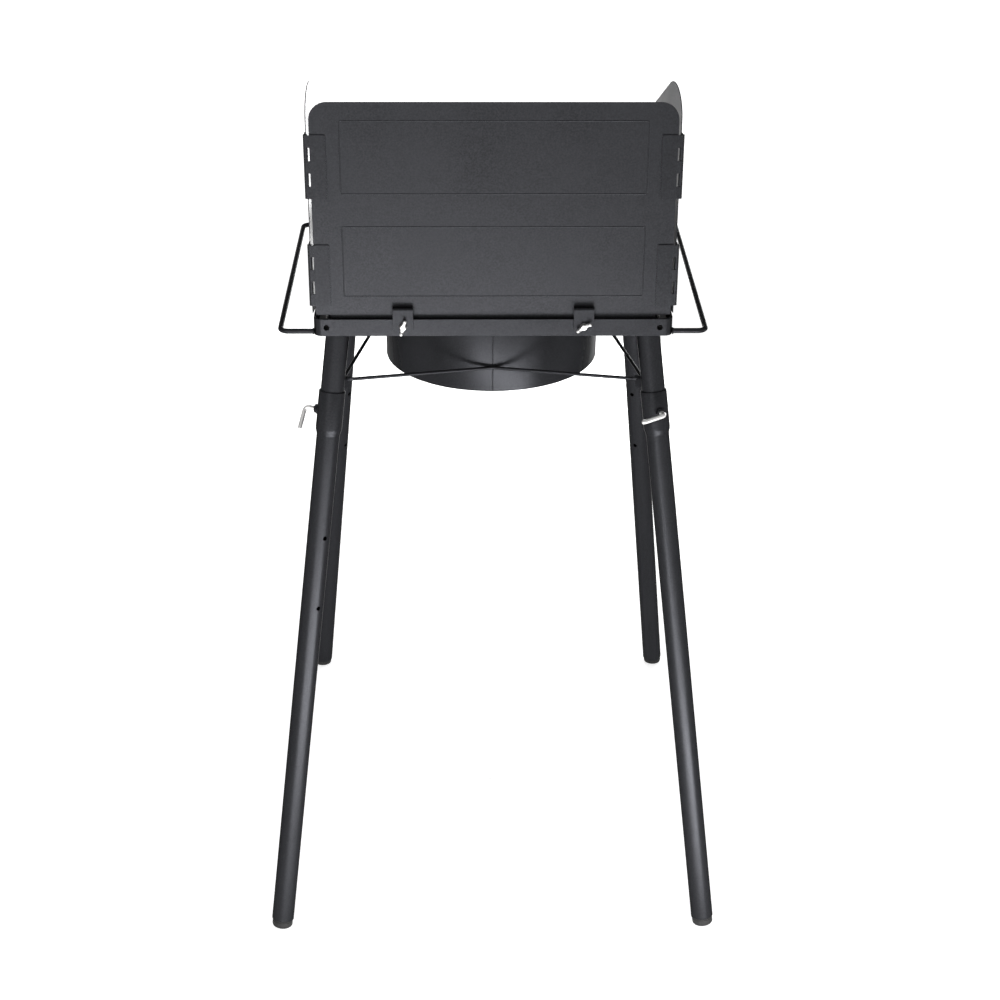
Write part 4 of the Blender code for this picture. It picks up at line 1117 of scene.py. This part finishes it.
def dress_clips():
    """Hooks over the rail, bent from strip."""
    hy = FRAME_D / 2
    outer = -hy - GAP - CLIP_T
    inner = PANEL_BACK - hy - GAP
    top = RAIL_TOP + CLIP_UP
    low = RAIL_TOP - CLIP_DOWN
    z = RAIL_TOP - SCREW_DROP
    big, small = CLIP_T * 1.25, CLIP_T * 0.25
    outline = [(outer, low), (outer + CLIP_T, low)]
    outline += arc(outer + CLIP_T + small, top - CLIP_T - small, small, math.pi, QUARTER, 4)
    outline += arc(inner - CLIP_T - small, top - CLIP_T - small, small, QUARTER, 0, 4)
    outline += [(inner - CLIP_T, low), (inner, low)]
    outline += arc(inner - big, top - big, big, 0, QUARTER, RIM)
    outline += arc(outer + big, top - big, big, QUARTER, math.pi, RIM)
    for side, sx in SIDES.items():
        x = sx * CLIP_X
        strap = prism(outline, x - CLIP_W / 2, x + CLIP_W / 2, "yz")
        cuts = [(CUT, at(along_y(rod(SCREW_R + SCREW_SLACK, -CLIP_T, CLIP_T * 1.25, SMALL)), x, outer, z))]
        for turn in (-1, 1):
            edge = x + turn * CLIP_W / 2
            r = CLIP_CORNER
            corner = [(edge + turn * r, low - r), (edge + turn * r, low + r)]
            corner += [(edge - turn * r + turn * a, low + r - b) for a, b in arc(0, 0, r, 0, QUARTER, RIM)]
            corner.append((edge - turn * r, low - r))
            cuts.append((CUT, prism(corner, outer - CLIP_T, inner + CLIP_T, "xz")))
        piece("rail_hook_" + side, shaped(strap, cuts), "coat", "windscreen", ["screen_clip_" + side], edge=EDGE_SMALL)


def dress_clip_screws():
    """Wing screws: plain round shank, cone hub and two rounded wings."""
    hub_start = CLIP_T + 2 * GAP
    hub_end = hub_start + SCREW_HUB_H
    half = SCREW_SPAN / 2
    crest = hub_start + SCREW_WING_H
    knob = SCREW_WING_T * 0.95
    nose = SCREW_HUB_R - SCREW_WING_T / 2
    for side, sx in SIDES.items():
        profile = [(SCREW_R * 0.9, GAP), (SCREW_R, GAP * 2), (SCREW_R, hub_start), (SCREW_HUB_R * 0.9, hub_start),
                   (SCREW_HUB_R, hub_start + SCREW_HUB_EDGE), (nose, hub_end - SCREW_NOSE_R)]
        profile += arc(nose - SCREW_NOSE_R, hub_end - SCREW_NOSE_R, SCREW_NOSE_R, 0, QUARTER, 4)[1:]
        steps = []
        for turn in (-1, 1):
            tip = Vector((turn * (half - knob), 0, crest - knob))
            root = Vector((turn * SCREW_HUB_R * 0.35, 0, hub_start + SCREW_HUB_H * 0.55))
            knee = Vector((turn * half * 0.55, 0, hub_start + SCREW_HUB_H * 0.62))
            path = bend((root, knee, tip), SCREW_BEND, RIM)
            count = len(path) - 1
            for flare in (0.0, 1.0):
                low_path = [p - Vector((0, 0, flare * SCREW_FLARE * (1 - i / count))) for i, p in enumerate(path)]
                swell = [1.15 - 0.25 * math.sin(math.pi * i / count) for i in range(count + 1)]
                points, dome = domed(low_path, knob)
                swell = [a * b for a, b in zip(swell[:-1] + [1.0] * (DOME + 1), dome)]
                steps.append((ADD, wire(points, knob * 0.9, swell)))
        turn = Matrix.Rotation(QUARTER, 4, "X") @ Matrix.Rotation(-SCREW_TILTS[side], 4, "Z")
        matrix = Matrix.Translation((sx * CLIP_X, -FRAME_D / 2, RAIL_TOP - SCREW_DROP)) @ turn
        skin = moved(shaped(solid(profile, SMALL), steps), matrix)
        piece("wing_bolt_" + side, skin, "zinc", "clip_screw_" + side, ["clip_screw_" + side])


def leaf_skin(moving):
    """One hinge leaf in a frame with the pin on Z and the leaf along +X, its outer face towards -Y."""
    lift = SHEET_T / 2 if moving else PIN_FROM_FACE
    plate_y = -(lift + GAP + SHEET_T)
    half = HINGE_LEN / 2
    start = HINGE_OUT + GAP
    end = HINGE_OUT + HINGE_LEAF
    outline = [(start, -half), (start, half)]
    outline += arc(end - HINGE_CORNER, half - HINGE_CORNER, HINGE_CORNER, QUARTER, 0, FOLD)
    outline += arc(end - HINGE_CORNER, HINGE_CORNER - half, HINGE_CORNER, 0, -QUARTER, FOLD)
    plate = prism(outline[::-1], plate_y, plate_y + SHEET_T, "xz")
    pitch = HINGE_LEN / KNUCKLES
    inset = SHEET_T / 10
    steps = []
    pin = [(PIN_R * 0.6, -half - 2 * inset), (PIN_R, -half - inset)]
    root = (PIN_R + KNUCKLE_R) / 2 if moving else PIN_R / 2
    for i in range(KNUCKLES):
        if (i % 2 == 1) != moving:
            continue
        z0 = i * pitch - half + GAP / 2
        z1 = (i + 1) * pitch - half - GAP / 2
        tab = box((root, plate_y + inset, z0 + inset), (start + SHEET_T, plate_y + SHEET_T - inset, z1 - inset))
        steps.append((ADD, tab))
        if moving:
            bore = PIN_R + RUN
            steps.append((ADD, hollow(((KNUCKLE_R, z0), (KNUCKLE_R, z1), (bore, z1), (bore, z0)), SMALL)))
        else:
            pin += [(PIN_R, z0), (KNUCKLE_R, z0), (KNUCKLE_R, z1), (PIN_R, z1)]
    if not moving:
        pin += [(PIN_R, half + inset), (PIN_R * 0.6, half + 2 * inset)]
        steps.append((ADD, solid(pin, SMALL)))
    return shaped(plate, steps)


def dress_wings():
    """Two wings with their hinge leaves."""
    face = PANEL_BACK - FRAME_D / 2
    axis_y = face + PIN_FROM_FACE
    peak = PANEL_H + WING_TIP
    y0 = HINGE_OUT
    y1 = HINGE_OUT + WING_LEN
    centre_y = y0 + WING_R
    centre_z = peak - WING_R
    front_centre = y1 - WING_NOSE_R
    drop = (front_centre - centre_y) * math.tan(WING_SLOPE) - (WING_R - WING_NOSE_R) / math.cos(WING_SLOPE)
    front_z = centre_z - drop
    outline = [(y0, WING_LIFT)]
    outline += arc(centre_y, centre_z, WING_R, math.pi, QUARTER - WING_SLOPE, 2 * CORNER)
    outline += arc(front_centre, front_z, WING_NOSE_R, QUARTER - WING_SLOPE, 0, 2 * CORNER)
    outline += arc(y1 - WING_FRONT_R, WING_LIFT + WING_FRONT_R, WING_FRONT_R, 0, -QUARTER, CORNER)
    for side, sx in SIDES.items():
        axis = Matrix.Translation((sx * (PANEL_W / 2 + HINGE_OUT), axis_y, RAIL_TOP))
        rest = axis @ Matrix.Rotation(sx * WING_TOES[side], 4, "Z")
        body = "wing_" + side
        sheet = prism(outline, -SHEET_T / 2, SHEET_T / 2, "yz")
        piece("side_sheet_" + side, moved(sheet, rest), "sheet", body, ["screen_wing_" + side], edge=EDGE_SMALL)
        for level, height in HINGE_Z.items():
            name = "%s_%s" % (level, side)
            lift = Matrix.Translation((0, 0, height))
            fixed = moved(leaf_skin(False), axis @ lift @ Matrix.Diagonal((-sx, 1, 1, 1)))
            piece("leaf_fixed_" + name, fixed, "sheet", "windscreen", ["hinge_fixed_" + name], edge=EDGE_LEAF)
            swing = Matrix.Diagonal((sx, 1, 1, 1)) @ Matrix.Rotation(QUARTER, 4, "Z")
            leaf = moved(leaf_skin(True), rest @ lift @ swing)
            piece("leaf_moving_" + name, leaf, "sheet", body, ["hinge_moving_" + name], edge=EDGE_LEAF)


# Legs


def tube_profile(length):
    """Outline of a leg tube: rounded collar rim, collar, swage, tube and lower end."""
    inside = TUBE_R + COLLAR_SLACK
    outside = inside + TUBE_WALL
    bore = TUBE_R - TUBE_WALL
    step = COLLAR_TOP + COLLAR_LEN
    rim = TUBE_WALL / 2
    end = length - FOOT_H
    profile = arc(inside + rim, -COLLAR_TOP - rim, rim, math.pi, 0, RIM)
    for i in range(SWAGE_STEPS + 1):
        t = i / SWAGE_STEPS
        ease = t * t * (3 - 2 * t)
        profile.append((outside + (TUBE_R - outside) * ease, -step + COLLAR_TAPER * (SWAGE_START - SWAGE_RUN * t)))
    profile += [(TUBE_R, -end + TUBE_EDGE), (TUBE_R - TUBE_EDGE, -end), (bore, -end), (bore, -step - COLLAR_TAPER / 2),
                (inside, -step)]
    return profile


def rod_path():
    """Path and radius factors of a clamp screw: threaded shank, bend and arm with a round end."""
    tip = TUBE_R + GAP
    reach = TUBE_R + COLLAR_SLACK + TUBE_WALL + NUT_H + ROD_OUT
    path = bend([(tip, 0, 0), (reach, 0, 0), (reach, 0, -ROD_ARM)], ROD_BEND, 12)
    thread_end = reach - ROD_BEND - THREAD_PITCH
    shank = []
    swell = []
    count = int((thread_end - tip) / (THREAD_PITCH / 4))
    for i in range(count + 1):
        shank.append(Vector((tip + (thread_end - tip) * i / count, 0, 0)))
        swell.append(1 - THREAD_DEEP * (0.5 - 0.5 * math.cos(i * QUARTER)))
    arm, dome = domed(path[1:], ROD_R)
    return shank + arm, swell + dome


def dress_legs():
    """Leg tubes with weld nut, clamp screw and rubber foot."""
    outside = TUBE_R + COLLAR_SLACK + TUBE_WALL
    bore = TUBE_R - TUBE_WALL
    nut_at = COLLAR_TOP + NUT_DROP
    hole = ROD_R + ROD_SLACK
    for end in ENDS:
        for side in SIDES:
            name = "%s_%s" % (end, side)
            _, _, length = leg_frame(end, side)
            matrix = leg_matrix(end, side, NUT_AZIMUTH[end, side])
            body = "leg_" + name
            cuts = [(CUT, at(along_x(rod(hole, TUBE_R / 2, TUBE_R * 2, SMALL)), 0, 0, -nut_at))]
            for drop in LEG_HOLES:
                drill = along_x(rod(LEG_HOLE_R, TUBE_R / 2, TUBE_R * 2, SMALL))
                drill = moved(drill, Matrix.Rotation(LEG_HOLE_TURN, 4, "Z"))
                cuts.append((CUT, at(drill, 0, 0, -drop)))
            tube = shaped(hollow(tube_profile(length), ROUND), cuts)
            piece("tube_" + name, moved(tube, matrix), "coat", body, ["leg_tube_" + name])

            nut = at(along_x(hex_nut(NUT_AF, NUT_H, hole)), outside + GAP, 0, -nut_at)
            piece("clamp_nut_" + name, moved(nut, matrix), "coat", body, ["leg_nut_" + name], edge=EDGE_SMALL)
            seat = []
            for i in range(NUT_WELD_STEPS):
                turn = math.tau * i / NUT_WELD_STEPS
                y, z = NUT_AF * NUT_WELD * math.cos(turn), NUT_AF * NUT_WELD * math.sin(turn)
                seat.append(matrix @ Vector((math.sqrt(outside ** 2 - y ** 2), y, z - nut_at)))
            piece("nut_weld_" + name, bead(seat, WELD_R * 0.8, ring=True), "coat", body)

            path, swell = rod_path()
            turned_to = Matrix.Translation((0, 0, -nut_at)) @ Matrix.Rotation(-ARM_TURN[end, side], 4, "X")
            screw = moved(wire(path, ROD_R, swell), matrix @ turned_to)
            piece("clamp_rod_" + name, screw, "zinc", "leg_screw_" + name, ["leg_screw_" + name])
            dress_foot(name, length, matrix, body, bore)


def dress_foot(name, length, matrix, body, bore):
    """Rubber foot: rounded sole cut level with the floor, a rib and a plug in the tube."""
    ground = length + FOOT_BELOW
    top = FOOT_H - length - GAP
    profile = [(FOOT_R - FOOT_ROUND * 1.5, -ground)]
    profile += arc(FOOT_R - FOOT_ROUND, FOOT_ROUND - ground, FOOT_ROUND, -QUARTER, 0, CORNER)
    profile += [(FOOT_R - inset, top - drop) for inset, drop in FOOT_RIB]
    profile += [(bore - GAP, top),
                (bore - GAP, FOOT_PLUG - length + FOOT_H)]
    wide = FOOT_R * 4
    centre = matrix @ Vector((0, 0, -length))
    floor = box((centre.x - wide, centre.y - wide, -wide), (centre.x + wide, centre.y + wide, 0))
    foot = shaped(solid(profile, ROUND), [(CUT, moved(floor, matrix.inverted()))])
    piece("foot_" + name, moved(foot, matrix), "rubber", body, ["leg_foot_" + name])


# Room


def stage_room():
    """Pale floor that curves up far away, white to the camera and in gloss; near the stove it keeps the shadow."""
    profile = [(FLOOR_EYE, 0), (FLOOR_R, 0)]
    profile += arc(FLOOR_R, SWEEP_R, SWEEP_R, -QUARTER, SWEEP_END, SWEEP_STEPS)[1:]
    mesh = bpy.data.meshes.new("floor")
    turned(profile, DRUM_STEPS, False).to_mesh(mesh)
    mesh.shade_smooth()
    floor = working("floor", mesh)
    floor.location.z = -FLOOR_SINK
    material = bpy.data.materials.new("floor")
    tree = cleared(material)
    rays = node(tree, "LightPath").outputs
    seen = combined(tree, "MAXIMUM", rays["Is Camera Ray"], rays["Is Glossy Ray"])
    seen = combined(tree, "MAXIMUM", seen, rays["Is Transmission Ray"])
    coords = node(tree, "TexCoord").outputs["Object"]
    reach = node(tree, "VectorMath", {0: coords}, operation="LENGTH").outputs["Value"]
    level = spread(tree, reach, FLOOR_GLOW, 1.0, FLOOR_NEAR, FLOOR_FAR)
    glow = node(tree, "Emission", {"Strength": combined(tree, "MULTIPLY", seen, level)})
    matt = node(tree, "BsdfDiffuse", {"Color": grey(FLOOR_PALE)})
    both = node(tree, "AddShader", {0: matt.outputs[0], 1: glow.outputs[0]})
    node(tree, "OutputMaterial", {"Surface": both.outputs[0]})
    mesh.materials.append(material)


def light_room():
    """Soft light from overhead, weak at the sides, and three broad lamps."""
    world = bpy.data.worlds.new("room")
    bpy.context.scene.world = world
    tree = cleared(world)
    split = node(tree, "SeparateXYZ", {0: node(tree, "TexCoord").outputs["Generated"]})
    level = spread(tree, split.outputs["Z"], SKY_SIDE, SKY_TOP, SKY_FROM, SKY_TO)
    sky = node(tree, "Background", {"Strength": level})
    node(tree, "OutputWorld", {"Surface": sky.outputs[0]})
    for name, place, size, power, aim in LAMPS:
        data = bpy.data.lights.new(name, "AREA")
        data.shape = "RECTANGLE"
        data.size, data.size_y = size
        data.energy = power
        lamp = bpy.data.objects.new(name, data)
        bpy.context.scene.collection.objects.link(lamp)
        lamp.location = place
        lamp.rotation_euler = (Vector(aim) - Vector(place)).to_track_quat("-Z", "Y").to_euler()
        lamp.visible_camera = False


make_camera()
stage_room()
light_room()
bpy.context.scene.view_settings.view_transform = "Standard"
MATERIALS = make_materials()
dress_ring()
dress_stubs()
dress_braces()
dress_handles()
dress_drum()
dress_burner()
dress_shutter()
dress_valve()
dress_knob()
dress_grate()
dress_panel()
dress_clips()
dress_clip_screws()
dress_wings()
dress_legs()
bpy.context.view_layer.update()
